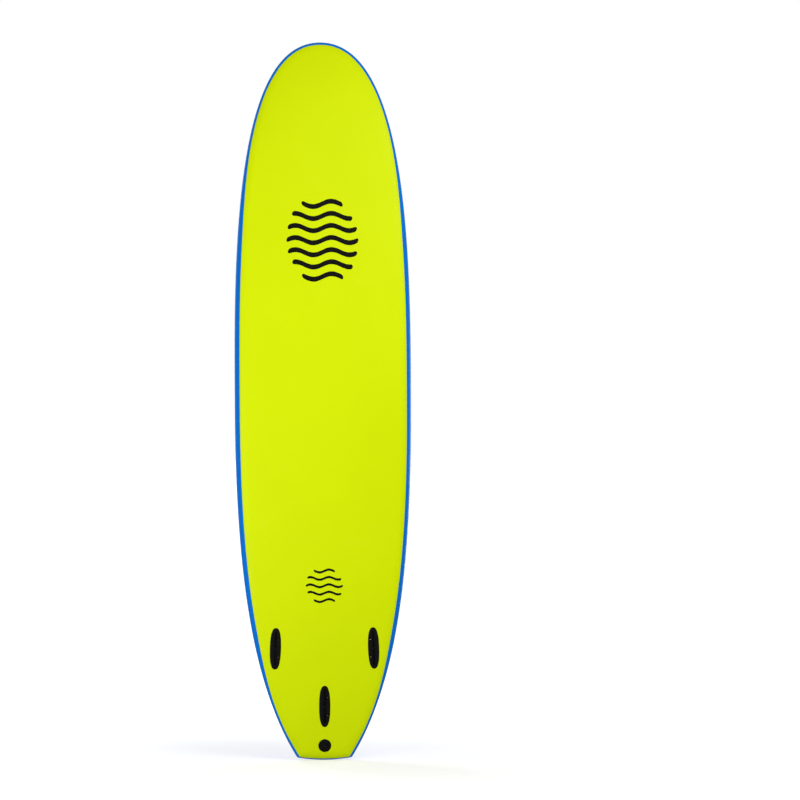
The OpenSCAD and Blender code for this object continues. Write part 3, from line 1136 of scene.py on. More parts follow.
    def surface(
        self, face: Face, u: np.ndarray, side: int, d: np.ndarray, e: np.ndarray, h: float
    ) -> np.ndarray:
        """Points of a layer.

        Args:
            face: which face the layer lies under.
            u: the ribs.
            side: 1 for the right half and -1 for the left.
            d: distances from the outline, one row for each rib.
            e: insets of the layer's edge.
            h: depth of the layer below the face.

        Returns:
            An array of ribs by places by three.
        """
        out, spine = self.outline(u), self.spine(u)[:, None]
        reach, edge = self.reach(u)[:, None], e[:, None]
        f = 1 - d / reach
        x, z = side * out[:, :1] * f, spine * (1 - f) + out[:, 1:] * f
        thick, apex = self.thickness(z), self.apex_y(z)
        w, power = self.rail(face, reach)
        if face is Face.DECK:
            dome = self.dome(z)
            full = (1 - self.apex_share) * thick - dome - h
            crown = dome * (1 - ((reach - d) / (reach - edge)) ** 2)
        else:
            full = h - self.apex_share * thick
            crown = 0.0
        s = np.clip((w - d) / (w - edge), 0, 1)
        y = apex + crown + full * (1 - s**power) ** (1 / power)
        return np.stack([x, y, z], -1)

    def deck_places(
        self, u: np.ndarray, e: np.ndarray, round_steps: int, flat_steps: int
    ) -> np.ndarray:
        """Distances from the outline across the deck, close together where its rail turns.

        Args:
            u: the ribs.
            e: insets of the layer's edge.
            round_steps: how many steps cross the rounded rail.
            flat_steps: how many steps go on to the centre line.

        Returns:
            One row for each rib, from the edge to the centre line.
        """
        reach = self.reach(u)[:, None]
        w, power = self.rail(Face.DECK, reach)
        turn = np.sin(np.linspace(math.pi / 2, 0, round_steps + 1)) ** (2 / power)
        rail = w - (w - e[:, None]) * turn
        flat = w + (reach - w) * steps_after_0(flat_steps)
        return np.concatenate([rail, flat], 1)


def steps_after_0(count: int) -> np.ndarray:
    """Equal steps up to 1, without the 0 that they start from."""
    return np.linspace(0, 1, count + 1)[1:]


# ---------------------------------------------------------------- skins


@dataclass
class Skins:
    """The blue foam skin of deck and rails, the lime slick sheet and their seam."""

    form: BoardForm
    per_rib: int = 4
    lip: float = 1.3 * MM
    deck_lip_steps: tuple[float, ...] = (0.3, 0.6, 0.85, 1.0)
    slick_lip_steps: tuple[float, ...] = (0.0, 0.15, 0.4, 0.7, 1.0)
    groove: float = 0.75 * MM
    bead_r: float = 0.55 * MM
    bead_sides: int = 8
    bead_sink: float = 0.55
    top_steps: tuple[int, int] = (22, 12)
    inside_steps: tuple[int, int] = (8, 5)
    wrap_steps: int = 8
    fold_steps: int = 3

    @property
    def ribs(self) -> np.ndarray:
        """The ribs of these finer skins, counted in the solids' ribs."""
        return np.linspace(0, self.form.last_rib, self.per_rib * self.form.last_rib + 1)

    def lipped(self, side: int, d: np.ndarray, inwards: bool) -> np.ndarray:
        """Points of the bottom that round off into the seam's groove.

        Args:
            side: 1 for the right half and -1 for the left.
            d: distances from the outline.
            inwards: whether the sheet lies on the centre line's side of the seam.

        Returns:
            The points.
        """
        u = self.ribs
        points = self.form.surface(Face.BOTTOM, u, side, d, np.zeros(len(u)), 0.0)
        away = (d - self.form.border(u)[:, None]) * (1 if inwards else -1)
        near = np.clip(1 - away / self.lip, 0, 1)
        points[..., 1] += self.groove * (1 - np.sqrt(1 - near**2))
        return points

    def deck_half(self, side: int) -> np.ndarray:
        """Profiles of the foam skin along the ribs of one half.

        Args:
            side: 1 for the right half and -1 for the left.

        Returns:
            An array of ribs by places by three, open at the centre line.
        """
        form, u = self.form, self.ribs
        zero, edge, border = np.zeros(len(u)), form.skin_edge(u), form.border(u)
        top_d = form.deck_places(u, zero, *self.top_steps)
        top = form.surface(Face.DECK, u, side, top_d, zero, 0.0)
        turn = 1 - np.cos(steps_after_0(self.wrap_steps) * math.pi / 2)
        wrap = (border - self.lip)[:, None] * turn
        ends = border[:, None] - self.lip * (1 - np.array(self.deck_lip_steps))
        under = self.lipped(side, np.concatenate([wrap, ends], 1), False)
        fold = np.linspace(1, 0, self.fold_steps + 1)
        inner_d = edge[:, None] + (border - edge)[:, None] * fold
        inner = form.surface(Face.BOTTOM, u, side, inner_d, edge, form.slick_t)
        inside_d = form.deck_places(u, edge, *self.inside_steps)
        inside = form.surface(Face.DECK, u, side, inside_d, edge, form.skin_t)
        return np.concatenate([top[:, ::-1], under, inner, inside[:, 1:]], 1)

    def slick_half(self, side: int) -> np.ndarray:
        """Profiles of the slick sheet along the ribs of one half.

        Args:
            side: 1 for the right half and -1 for the left.

        Returns:
            An array of ribs by places by three, open at the centre line.
        """
        form, u = self.form, self.ribs
        border, reach = form.border(u)[:, None], form.reach(u)[:, None]
        starts = border + self.lip * np.array(self.slick_lip_steps)
        rail = np.full_like(reach, form.bottom_rail_w)
        bend = starts[:, -1:] + (rail - starts[:, -1:]) * steps_after_0(self.wrap_steps)
        flat = rail + (reach - rail) * steps_after_0(self.wrap_steps)
        outer = self.lipped(side, np.concatenate([starts, bend, flat], 1), True)
        inner_d = np.concatenate([border, bend[:, 1::2], flat[:, 1::2]], 1)
        inner = form.surface(Face.BOTTOM, u, side, inner_d, form.skin_edge(u), form.slick_t)
        return np.concatenate([inner[:, ::-1], outer], 1)

    def sheet(
        self, name: str, half: Callable[[int], np.ndarray], finish: Finish
    ) -> bpy.types.Object:
        """Joins both halves of a sheet.

        Args:
            name: the sheet's name.
            half: gives the profiles of one half.
            finish: its finish.

        Returns:
            The closed sheet.
        """
        ribs = np.concatenate([half(1), half(-1)[-2:0:-1]])
        faces = grid_faces(*ribs.shape[:2], True, False)
        return make_object(name, mesh_of(name, ribs.reshape(-1, 3), faces, COARSE), finish)

    def seam_bead(self) -> bpy.types.Object:
        """The thin weld bead that fills the seam's groove.

        Returns:
            The bead.
        """
        form, u = self.form, self.ribs
        right, left = (
            form.surface(Face.BOTTOM, u, side, form.border(u)[:, None], np.zeros(len(u)), 0.0)
            for side in (1, -1)
        )
        path = np.concatenate([right, left[-2:0:-1]])[:, 0]
        path[:, 1] += self.groove - self.bead_r * self.bead_sink
        count = len(path)
        line = bpy.data.meshes.new("seam_line")
        edges = [(k, (k + 1) % count) for k in range(count)]
        line.from_pydata([tuple(p) for p in path], edges, [])
        bead = make_object("rail_seam_bead", line)
        tree = GeometryTree("seam_bead", {"Radius": self.bead_r, "Sides": self.bead_sides})
        curve = tree.graph.node("GeometryNodeMeshToCurve", {0: tree.geometry})
        ring = {"Resolution": tree.input("Sides"), "Radius": tree.input("Radius")}
        tree.close(tree.tube(curve, ring, False), DECK_FOAM.material())
        tree.apply(bead)
        clean(bead.data, FINE)
        smooth(bead.data, BEAD_CREASE)
        return bead

    def build(
        self, plug: "LeashPlug", boxes: Sequence["FinBox"]
    ) -> dict[Face, bpy.types.Object]:
        """Builds and dresses both skins.

        Args:
            plug: the leash plug that both skins make room for.
            boxes: the fin boxes that the slick sheet makes room for.

        Returns:
            The two skins, by face.
        """
        deck = self.sheet("foam_deck_skin", self.deck_half, DECK_FOAM)
        cut(deck, [plug.deck_hole()])
        slick = self.sheet("lime_slick", self.slick_half, LIME_SLICK)
        cut(slick, [plug.bottom_hole()] + [box.flange_hole() for box in boxes])
        for skin in (deck, slick):
            smooth(skin.data, SKIN_CREASE)
        ride(deck, Slot.DECK, "deck_skin", "deck_skin_tail")
        ride(slick, Slot.SLICK, "bottom_slick")
        ride(self.seam_bead(), Slot.DECK)
        return {Face.DECK: deck, Face.BOTTOM: slick}


# ---------------------------------------------------------------- geometry nodes


class GeometryTree:
    """A Geometry Nodes tree with named inputs that ends in a realized, dressed mesh."""

    KINDS = {int: "NodeSocketInt", float: "NodeSocketFloat"}

    def __init__(self, name: str, inputs: dict[str, Union[int, float]]) -> None:
        """Makes the tree.

        Args:
            name: the tree's name.
            inputs: the value of each named input.
        """
        self.tree = bpy.data.node_groups.new(name, "GeometryNodeTree")
        self.inputs = inputs
        face = self.tree.interface
        for way in ("INPUT", "OUTPUT"):
            face.new_socket("Geometry", in_out=way, socket_type="NodeSocketGeometry")
        self.keys = {}
        for key, value in inputs.items():
            kind = self.KINDS[type(value)]
            socket = face.new_socket(key, in_out="INPUT", socket_type=kind)
            socket.default_value = value
            self.keys[key] = socket.identifier
        self.graph = Graph(self.tree)
        self.source = self.graph.node("NodeGroupInput")
        self.geometry = self.source.outputs[0]

    def input(self, name: str) -> Value:
        """One of the named inputs."""
        return Value(self.graph, self.source.outputs[name])

    def tube(
        self, curve: bpy.types.Node, ring: Inputs, capped: bool
    ) -> bpy.types.NodeSocket:
        """Sweeps a round section along a curve.

        Args:
            curve: the node that makes the curve.
            ring: the section's inputs.
            capped: whether its ends are closed.

        Returns:
            The tube's geometry.
        """
        section = self.graph.node("GeometryNodeCurvePrimitiveCircle", ring)
        inputs = {
            "Curve": curve.outputs[0],
            "Profile Curve": section.outputs[0],
            "Fill Caps": capped,
        }
        return self.graph.node("GeometryNodeCurveToMesh", inputs).outputs[0]

    def close(self, geometry: bpy.types.NodeSocket, material: bpy.types.Material) -> None:
        """Ends the tree in Realize Instances and Set Material.

        Args:
            geometry: what the tree has made.
            material: the material that dresses it.
        """
        whole = self.graph.node("GeometryNodeRealizeInstances", {0: geometry})
        dress = {0: whole.outputs[0], "Material": material}
        dressed = self.graph.node("GeometryNodeSetMaterial", dress)
        self.graph.node("NodeGroupOutput", {0: dressed.outputs[0]})

    def apply(self, obj: bpy.types.Object) -> None:
        """Runs the tree on an object, sets its inputs and keeps the plain mesh.

        Args:
            obj: the object whose mesh the tree starts from.
        """
        modifier = obj.modifiers.new(self.tree.name, "NODES")
        modifier.node_group = self.tree
        for name, value in self.inputs.items():
            modifier[self.keys[name]] = value
        settle(obj)


# ---------------------------------------------------------------- fin boxes


class Place(Enum):
    """Where a fin box sits, with the way that it toes in."""

    LEFT = -1
    CENTRE = 0
    RIGHT = 1


class End(Enum):
    """The two ends of a fin box, with the sign of their place along it."""

    FRONT = 1
    REAR = -1


def axis_frame(origin: Vector, outwards_z: Vector, along: Vector) -> Matrix:
    """A right-handed frame.

    Args:
        origin: its origin.
        outwards_z: its Z axis.
        along: roughly its Y axis.

    Returns:
        The matrix from the frame to the row frame.
    """
    z = outwards_z.normalized()
    x = along.cross(z).normalized()
    y = z.cross(x)
    turned = Matrix((x, y, z)).transposed().to_4x4()
    return Matrix.Translation(origin) @ turned


def mount_frame(name: str, along: Vector) -> Matrix:
    """The frame of one of the record's mounts."""
    found = next(m for m in frame["record"]["mounts"] if m["name"] == name)
    return axis_frame(Vector(found["pos_m"]), Vector(found["axis"]), along)


def oval(length: float, width: float, z: float, power: float) -> np.ndarray:
    """A ring of an oval with boxy ends.

    Args:
        length: its length along Y.
        width: its width along X.
        z: its height.
        power: 2 is an ellipse, more is boxier.

    Returns:
        The points.
    """
    a = np.linspace(0, 2 * math.pi, OVAL_STEPS, endpoint=False)
    c, s = np.cos(a), np.sin(a)
    x = width / 2 * np.sign(c) * np.abs(c) ** (2 / power)
    y = length / 2 * np.sign(s) * np.abs(s) ** (2 / power)
    return np.stack([x, y, np.full(OVAL_STEPS, z)], -1)


def pill(length: float, width: float, r: float, z: float, grow: float = 0.0) -> np.ndarray:
    """A ring of a rectangle with rounded corners.

    Args:
        length: its length along Y.
        width: its width along X.
        r: the corners' radius.
        z: its height.
        grow: how far it is moved out, corners and all.

    Returns:
        The points.
    """
    points = []
    r += grow
    half_x, half_y = (width + 2 * grow) / 2 - r, (length + 2 * grow) / 2 - r
    for corner, (sx, sy) in enumerate(((1, 1), (-1, 1), (-1, -1), (1, -1))):
        for a in np.linspace(0, math.pi / 2, PILL_STEPS + 1) + corner * math.pi / 2:
            points.append((sx * half_x + r * math.cos(a), sy * half_y + r * math.sin(a), z))
    return np.array(points)


@dataclass
class FinBox:
    """One moulded fin box with its two pockets and two grub screws."""

    place: Place
    length: float = 140 * MM
    width: float = 37 * MM
    power: float = 2.5
    proud: float = 0.8 * MM
    edge_r: float = 0.6 * MM
    edge_steps: int = 4
    body_l: float = 124 * MM
    body_w: float = 31 * MM
    body_h: float = 16 * MM
    body_taper: float = 2 * MM
    slick_t: float = 2.5 * MM
    fit: float = 0.3 * MM
    flare: float = 0.35 * MM
    pocket_w: float = 7 * MM
    pocket_l: float = 52 * MM
    pocket_h: float = 14 * MM
    pocket_r: float = 0.9 * MM
    mouth: float = 0.55 * MM
    bridge: float = 8 * MM
    toe_in: float = math.radians(2)
    groove_inset: float = 2.6 * MM
    groove_w: float = 0.6 * MM
    groove_h: float = 0.3 * MM
    screw_d: float = 5 * MM
    screw_l: float = 7.5 * MM
    screw_x: float = 13 * MM
    screw_gap: float = 0.08 * MM
    screw_slant: float = math.radians(45)

    @property
    def label(self) -> str:
        """The place's name, as the record writes it."""
        return self.place.name.lower()

    def frame_at(self) -> Matrix:
        """The box's frame: its origin on the bottom, Z out of the board, Y to the nose.

        Returns:
            The matrix from the frame to the row frame.
        """
        toe = self.place.value * self.toe_in
        along = Vector((-math.sin(toe), 0.0, math.cos(toe)))
        seat = mount_frame(f"fin_seat_{self.label}", along)
        return seat @ Matrix.Translation((0, 0, -self.proud))

    def end_y(self, end: End) -> float:
        """The middle of an end's pocket, in the box's own frame."""
        return end.value * (self.bridge + self.pocket_l) / 2

    def ring(self, z: float, inset: float) -> np.ndarray:
        """The flange's outline at a height, moved in by an inset."""
        return oval(self.length - 2 * inset, self.width - 2 * inset, z, self.power)

    def flange_hole(self) -> bpy.types.Mesh:
        """The mesh that makes room for the flange in the slick sheet.

        Returns:
            The mesh.
        """
        wide = -self.fit - 2 * self.flare
        levels = (
            (-self.slick_t - MM, -self.fit),
            (-self.flare, -self.fit),
            (self.flare, wide),
            (3 * MM, wide),
        )
        rings = [self.ring(z, inset) for z, inset in levels]
        return loft("flange_hole", rings, self.frame_at())

    def pocket(self, end: End) -> bpy.types.Mesh:
        """The mesh of one pocket, with a chamfered mouth.

        Args:
            end: the pocket's end of the box.

        Returns:
            The mesh.
        """
        face = self.proud
        levels = (
            (face - self.pocket_h, 0.0),
            (face - self.mouth, 0.0),
            (face, self.mouth),
            (face + MM, self.mouth),
        )
        rings = [
            pill(self.pocket_l, self.pocket_w, self.pocket_r, z, grow) for z, grow in levels
        ]
        at = self.frame_at() @ Matrix.Translation((0, self.end_y(end), 0))
        return loft("pocket", rings, at)

    def drive(self, end: End) -> Vector:
        """The direction in which an end's grub screw drives, from its joint.

        Args:
            end: the screw's end of the box.

        Returns:
            The direction, in the row frame.
        """
        name = f"fin_screw_{self.label}_{end.name.lower()}_travel"
        joint = next(j for j in frame["joints"] if j["name"] == name)
        return Vector(joint["axis"])

    def screw_hole(self, end: End) -> bpy.types.Mesh:
        """The mesh of one screw's hole, which slants into its pocket.

        Args:
            end: the screw's end of the box.

        Returns:
            The mesh.
        """
        local = self.frame_at().to_3x3().inverted() @ self.drive(End.FRONT)
        side_x = -math.copysign(self.screw_x, local.x)
        mouth = self.frame_at() @ Vector((side_x, self.end_y(end), self.proud))
        at = axis_frame(mouth, self.drive(end), UP)
        r, start = self.screw_d / 2 + self.screw_gap, -self.screw_d
        reach = (self.screw_x - self.pocket_w / 2) / math.sin(self.screw_slant) + r
        profile = [(0, start), (r, start), (r, reach), (0, reach)]
        return lathe("screw_hole", profile, at, SCREW_STEPS)

    def groove(self) -> bpy.types.Mesh:
        """The mesh of the fine groove that follows the flange's edge.

        Returns:
            The mesh.
        """
        outer = self.groove_inset
        inner = outer + self.groove_w
        high, low = self.proud + MM, self.proud - self.groove_h
        levels = ((high, outer), (high, inner), (low, inner), (low, outer))
        rings = [self.ring(z, inset) for z, inset in levels]
        faces = grid_faces(len(rings), OVAL_STEPS, True, True)
        return mesh_of("groove", placed(rings, self.frame_at()), faces)

    def build(self) -> None:
        """Builds the box and its screws."""
        r, top, foot = self.edge_r, self.proud, -self.slick_t - self.body_h
        narrow_l, narrow_w = self.body_l - self.body_taper, self.body_w - self.body_taper
        rings = [
            oval(narrow_l, narrow_w, foot, self.power),
            oval(self.body_l, self.body_w, foot + MM, self.power),
            oval(self.body_l, self.body_w, -self.slick_t, self.power),
            self.ring(-self.slick_t, 0.0),
        ]
        for a in np.linspace(0, math.pi / 2, self.edge_steps + 1):
            rings.append(self.ring(top - r + r * math.sin(a), r * (1 - math.cos(a))))
        name = f"fin_box_{self.label}"
        box = make_object(f"moulded_{name}", loft(name, rings, self.frame_at()), BLACK_NYLON)
        tools = [self.groove()]
        for end in End:
            tools += [self.pocket(end), self.screw_hole(end)]
        cut(box, tools)
        smooth(box.data, PART_CREASE)
        ride(box, Slot.NYLON, name)
        for end in End:
            GrubScrew(self, end).build()


@dataclass
class GrubScrew:
    """A stainless grub screw with a hexagon socket, a flat point and a thread."""

    box: FinBox
    end: End
    pitch: float = 0.8 * MM
    thread_h: float = 0.35 * MM
    thread_start: float = 0.45 * MM
    thread_short: float = 1.7 * MM
    turn_steps: int = 28
    ridge_sides: int = 4
    edge: float = 0.25 * MM
    point_l: float = 0.9 * MM
    point_cut: float = 0.7 * MM
    rounding: float = 0.1 * MM
    hex_w: float = 2.5 * MM
    hex_h: float = 3 * MM
    hex_mouth: float = 1.18

    def hexagon(self, at: Matrix) -> bpy.types.Mesh:
        """The mesh of the socket, with a chamfered mouth.

        Args:
            at: from the screw's frame to the row frame.

        Returns:
            The mesh.
        """
        r = self.hex_w / math.sqrt(3)
        wide = r * self.hex_mouth
        a = np.linspace(0, 2 * math.pi, HEXAGON, endpoint=False)
        rings = [
            np.stack([size * np.cos(a), size * np.sin(a), np.full(HEXAGON, z)], -1)
            for size, z in ((r, self.hex_h), (r, self.edge), (wide, 0.0), (wide, -MM))
        ]
        return loft("socket", rings, at)

    def thread(self, at: Matrix, name: str) -> bpy.types.Mesh:
        """The thread's ridge, wound round the shank.

        Args:
            at: from the thread's frame to the row frame.
            name: the mesh's name.

        Returns:
            The mesh.
        """
        blank = make_object(name, bpy.data.meshes.new(name))
        length = self.box.screw_l - self.thread_short
        sizes = {
            "Turns": length / self.pitch,
            "Radius": self.box.screw_d / 2 - self.thread_h,
            "Rise": length,
            "Ridge": self.thread_h,
        }
        tree = GeometryTree("thread", sizes)
        winding = {
            "Resolution": self.turn_steps,
            "Rotations": tree.input("Turns"),
            "Start Radius": tree.input("Radius"),
            "End Radius": tree.input("Radius"),
            "Height": tree.input("Rise"),
        }
        helix = tree.graph.node("GeometryNodeCurveSpiral", winding)
        ring = {"Resolution": self.ridge_sides, "Radius": tree.input("Ridge")}
        tree.close(tree.tube(helix, ring, True), STAINLESS.material())
        tree.apply(blank)
        mesh = blank.data
        mesh.transform(at)
        clean(mesh, FINE)
        bpy.data.objects.remove(blank)
        return mesh

    def build(self) -> None:
        """Builds the screw around its solid's place."""
        node = f"fin_screw_{self.box.label}_{self.end.name.lower()}"
        low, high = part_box(node)
        drive, tall = self.box.drive(self.end), self.box.screw_l
        head = (low + high) / 2 - drive * (tall / 2)
        at = axis_frame(head, drive, UP)
        core, soft = self.box.screw_d / 2 - self.thread_h, self.rounding
        corners = (
            (0, 0, 0),
            (core - self.edge, 0, soft),
            (core, self.edge, soft),
            (core, tall - self.point_l, soft),
            (core - self.point_cut, tall, soft),
            (0, tall, 0),
        )
        shank = lathe(node, rounded(corners, 2), at, SCREW_STEPS)
        screw = make_object(f"threaded_{node}", shank, STAINLESS)
        cut(screw, [self.hexagon(at)])
        start = at @ Matrix.Translation((0, 0, self.thread_start))
        ridge = self.thread(start, f"ridge_{node}")
        work = bmesh.new()
        work.from_mesh(screw.data)
        work.from_mesh(ridge)
        work.to_mesh(screw.data)
        work.free()
        smooth(screw.data, PART_CREASE)
        ride(screw, Slot.STEEL, node, body=node)


# ---------------------------------------------------------------- leash plug


@dataclass
class LeashPlug:
    """The moulded cup with its bar, and the backing disc on the bottom."""

    form: BoardForm
    plug_d: float = 43 * MM
    cup_d: float = 34 * MM
    hollow_d: float = 27 * MM
    hollow_h: float = 15 * MM
    hollow_r: float = 2 * MM
    floor_t: float = 3 * MM
    bar_d: float = 4 * MM
    bar_depth: float = 6.5 * MM
    bar_edge: float = 0.3 * MM
    bar_gap: float = 0.02 * MM
    boss_d: float = 18 * MM
    boss_h: float = 9 * MM
    boss_r: float = 0.4 * MM
    bush_d: float = 12 * MM
    stem_d: float = 8 * MM
    stem_r: float = 0.6 * MM
    proud: float = 0.8 * MM
    rim_r: float = 0.7 * MM
    lip_r: float = 1.1 * MM
    foot_r: float = 0.2 * MM
    sink: float = 0.3 * MM
    seal_t: float = 1.2 * MM
    coin_w: float = 2.4 * MM
    coin_l: float = 22 * MM
    coin_h: float = 1.2 * MM
    coin_edge: float = 0.3 * MM
    coin_flat: float = 0.1 * MM
    coin_turn: float = math.radians(-45)
    height: float = 51 * MM
    fit: float = 0.3 * MM
    flare: float = 0.4 * MM
    hole_spare: Span = (6 * MM, 4 * MM)

    @property
    def half(self) -> float:
        """Half the board's thickness at the plug."""
        z = np.array([self.height])
        return float(self.form.deck_y(z)[0] - self.form.bottom_y(z)[0]) / 2

    @property
    def face(self) -> float:
        """Height of the flange's face above the plug's middle."""
        return self.half + self.proud

    def frame_at(self) -> Matrix:
        """The plug's frame: Z comes out of the deck, Y points to the tail."""
        bar = mount_frame("leash_bar_loop", -UP)
        return bar @ Matrix.Translation((0, 0, self.bar_depth - self.face))

    def seat(self, skin_t: float) -> float:
        """How far from the plug's middle the seat in a skin lies."""
        return self.half - skin_t - self.sink

    def hole(self, skin_t: float, sign: int) -> bpy.types.Mesh:
        """A seat's hole with a slightly rounded rim.

        Args:
            skin_t: the thickness of the skin.
            sign: 1 at the deck and -1 at the bottom.

        Returns:
            The mesh.
        """
        r = self.plug_d / 2 + self.fit
        wide = r + 2 * self.flare
        below, above = self.hole_spare
        deep, high = self.seat(skin_t) - below, self.half + above
        levels = (
            (0, deep),
            (r, deep),
            (r, self.half - self.flare),
            (wide, self.half + self.flare),
            (wide, high),
            (0, high),
        )
        profile = [(x, sign * z) for x, z in levels]
        return lathe("plug_hole", profile, self.frame_at(), PLUG_STEPS)

    def deck_hole(self) -> bpy.types.Mesh:
        """The hole in the foam skin."""
        return self.hole(self.form.skin_t, 1)

    def bottom_hole(self) -> bpy.types.Mesh:
        """The hole in the slick sheet."""
        return self.hole(self.form.slick_t, -1)

    def turned(
        self, name: str, corners: Sequence[tuple[float, float, float]]
    ) -> bpy.types.Object:
        """A moulded piece, turned from its corners.

        Args:
            name: the piece's name.
            corners: (radius, height, rounding) at each corner.

        Returns:
            The piece.
        """
        mesh = lathe(name, rounded(corners), self.frame_at(), PLUG_STEPS)
        return make_object(f"moulded_{name}", mesh, BLACK_NYLON)

    def cup(self) -> bpy.types.Object:
        """The cup, its flange and its boss.

        Returns:
            The cup.
        """
        top, seat = self.face, self.seat(self.form.skin_t) + self.seal_t
        hollow = top - self.hollow_h
        floor = hollow - self.floor_t
        boss = floor - self.boss_h
        corners = (
            (0, hollow, 0),
            (self.hollow_d / 2, hollow, self.hollow_r),
            (self.hollow_d / 2, top, self.lip_r),
            (self.plug_d / 2, top, self.rim_r),
            (self.plug_d / 2, seat, self.foot_r),
            (self.cup_d / 2, seat, 0),
            (self.cup_d / 2, floor, MM),
            (self.boss_d / 2, floor, 0),
            (self.boss_d / 2, boss, self.boss_r),
            (self.bush_d / 2, boss, 0),
            (self.bush_d / 2, floor, 0),
            (0, floor, 0),
        )
        cup = self.turned("leash_cup", corners)
        cut(cup, [self.rod(self.bar_d / 2 + self.bar_gap, self.cup_d + 2 * MM, 0.0)])
        return cup

    def rod(self, r: float, length: float, edge: float) -> bpy.types.Mesh:
        """A round rod across the cup.

        Args:
            r: its radius.
            length: its length.
            edge: the rounding of its ends.

        Returns:
            The mesh.
        """
        middle = self.frame_at() @ Matrix.Translation((0, 0, self.face - self.bar_depth))
        at = middle @ Matrix.Rotation(math.pi / 2, 4, "Y")
        half = length / 2
        corners = ((0, -half, 0), (r, -half, edge), (r, half, edge), (0, half, 0))
        return lathe("bar", rounded(corners, 4), at, BAR_STEPS)

    def bar(self) -> bpy.types.Object:
        """The black-coated steel bar that a leash ties to.

        Returns:
            The bar.
        """
        length = (self.hollow_d + self.cup_d) / 2
        rod = self.rod(self.bar_d / 2, length, self.bar_edge)
        return make_object("turned_leash_bar", rod, COATED_STEEL)

    def disc(self) -> bpy.types.Object:
        """The backing disc with its stem and coin slot.

        Returns:
            The disc.
        """
        low, seat = -self.face, -self.seat(self.form.slick_t) - self.seal_t
        tip = self.face - self.hollow_h - self.floor_t - MM
        corners = (
            (0, low, 0),
            (self.plug_d / 2, low, self.rim_r),
            (self.plug_d / 2, seat, self.foot_r),
            (self.stem_d / 2, seat, 0),
            (self.stem_d / 2, tip, self.stem_r),
            (0, tip, 0),
        )
        disc = self.turned("leash_disc", corners)
        edge, r = self.coin_edge, (self.coin_w - self.coin_flat) / 2
        levels = ((self.coin_h, 0.0), (edge, 0.0), (0.0, edge), (-MM, edge))
        rings = [pill(self.coin_l, self.coin_w, r, low + z, grow) for z, grow in levels]
        at = self.frame_at() @ Matrix.Rotation(self.coin_turn, 4, "Z")
        cut(disc, [loft("coin_slot", rings, at)])
        return disc

    def build(self) -> None:
        """Builds the plug's visible pieces."""
        for make, slot, node in (
            (self.cup, Slot.NYLON, "leash_cup"),
            (self.disc, Slot.NYLON, "leash_backing"),
            (self.bar, Slot.COATED, "leash_bar"),
        ):
            piece = make()
            smooth(piece.data, PART_CREASE)
            ride(piece, slot, node)


# ---------------------------------------------------------------- prints


@dataclass
class Print:
    """A plain printed motif, laid on one face as a closed film of ink."""

    name: str
    face: Face
    height: float
    finish: Finish

    def drawing(self) -> bpy.types.Object:
        """Draws the motif flat, in X and Y about its own middle.

        Returns:
            The drawing.
        """
        raise NotImplementedError

    def lay(self, obj: bpy.types.Object, skin: bpy.types.Object) -> None:
        """Lays the flat drawing on a skin as a closed film.

        Args:
            obj: the drawing.
            skin: the skin below it.
        """
        under = BVHTree.FromObject(skin, bpy.context.evaluated_depsgraph_get())
        work = bmesh.new()
        work.from_mesh(obj.data)
        bmesh.ops.remove_doubles(work, verts=work.verts, dist=2 * COARSE)
        bmesh.ops.dissolve_degenerate(work, edges=work.edges, dist=COARSE)
        look = Vector((0, -self.face.value, 0))
        low, high = [], []
        work.verts.ensure_lookup_table()
        work.verts.index_update()
        for vert in work.verts:
            start = Vector((vert.co.x, self.face.value, self.height + vert.co.y))
            spot, normal, _, _ = under.ray_cast(start, look)
            high.append(spot + normal * INK_FILM)
            low.append(spot - normal * INK_FILM * 0.5)
        count = len(high)
        faces = [[v.index for v in f.verts] for f in work.faces]
        rims = [
            [loop.vert.index, loop.link_loop_next.vert.index]
            for f in work.faces
            for loop in f.loops
            if len(loop.edge.link_faces) == 1
        ]
        work.free()
        faces += [[v + count for v in reversed(f)] for f in faces]
        faces += [[b, a, a + count, b + count] for a, b in rims]
        obj.data = mesh_of(obj.name, np.array(high + low), faces)
        smooth(obj.data, SKIN_CREASE)

    def build(self, skin: bpy.types.Object) -> None:
        """Draws the motif, lays it on a skin and dresses it.

        Args:
            skin: the skin that carries the print.
        """
        made = self.drawing()
        self.lay(made, skin)
        made.data.materials.clear()
        made.data.materials.append(self.finish.material())
        ride(made, Slot.SLICK if self.face is Face.BOTTOM else Slot.DECK)


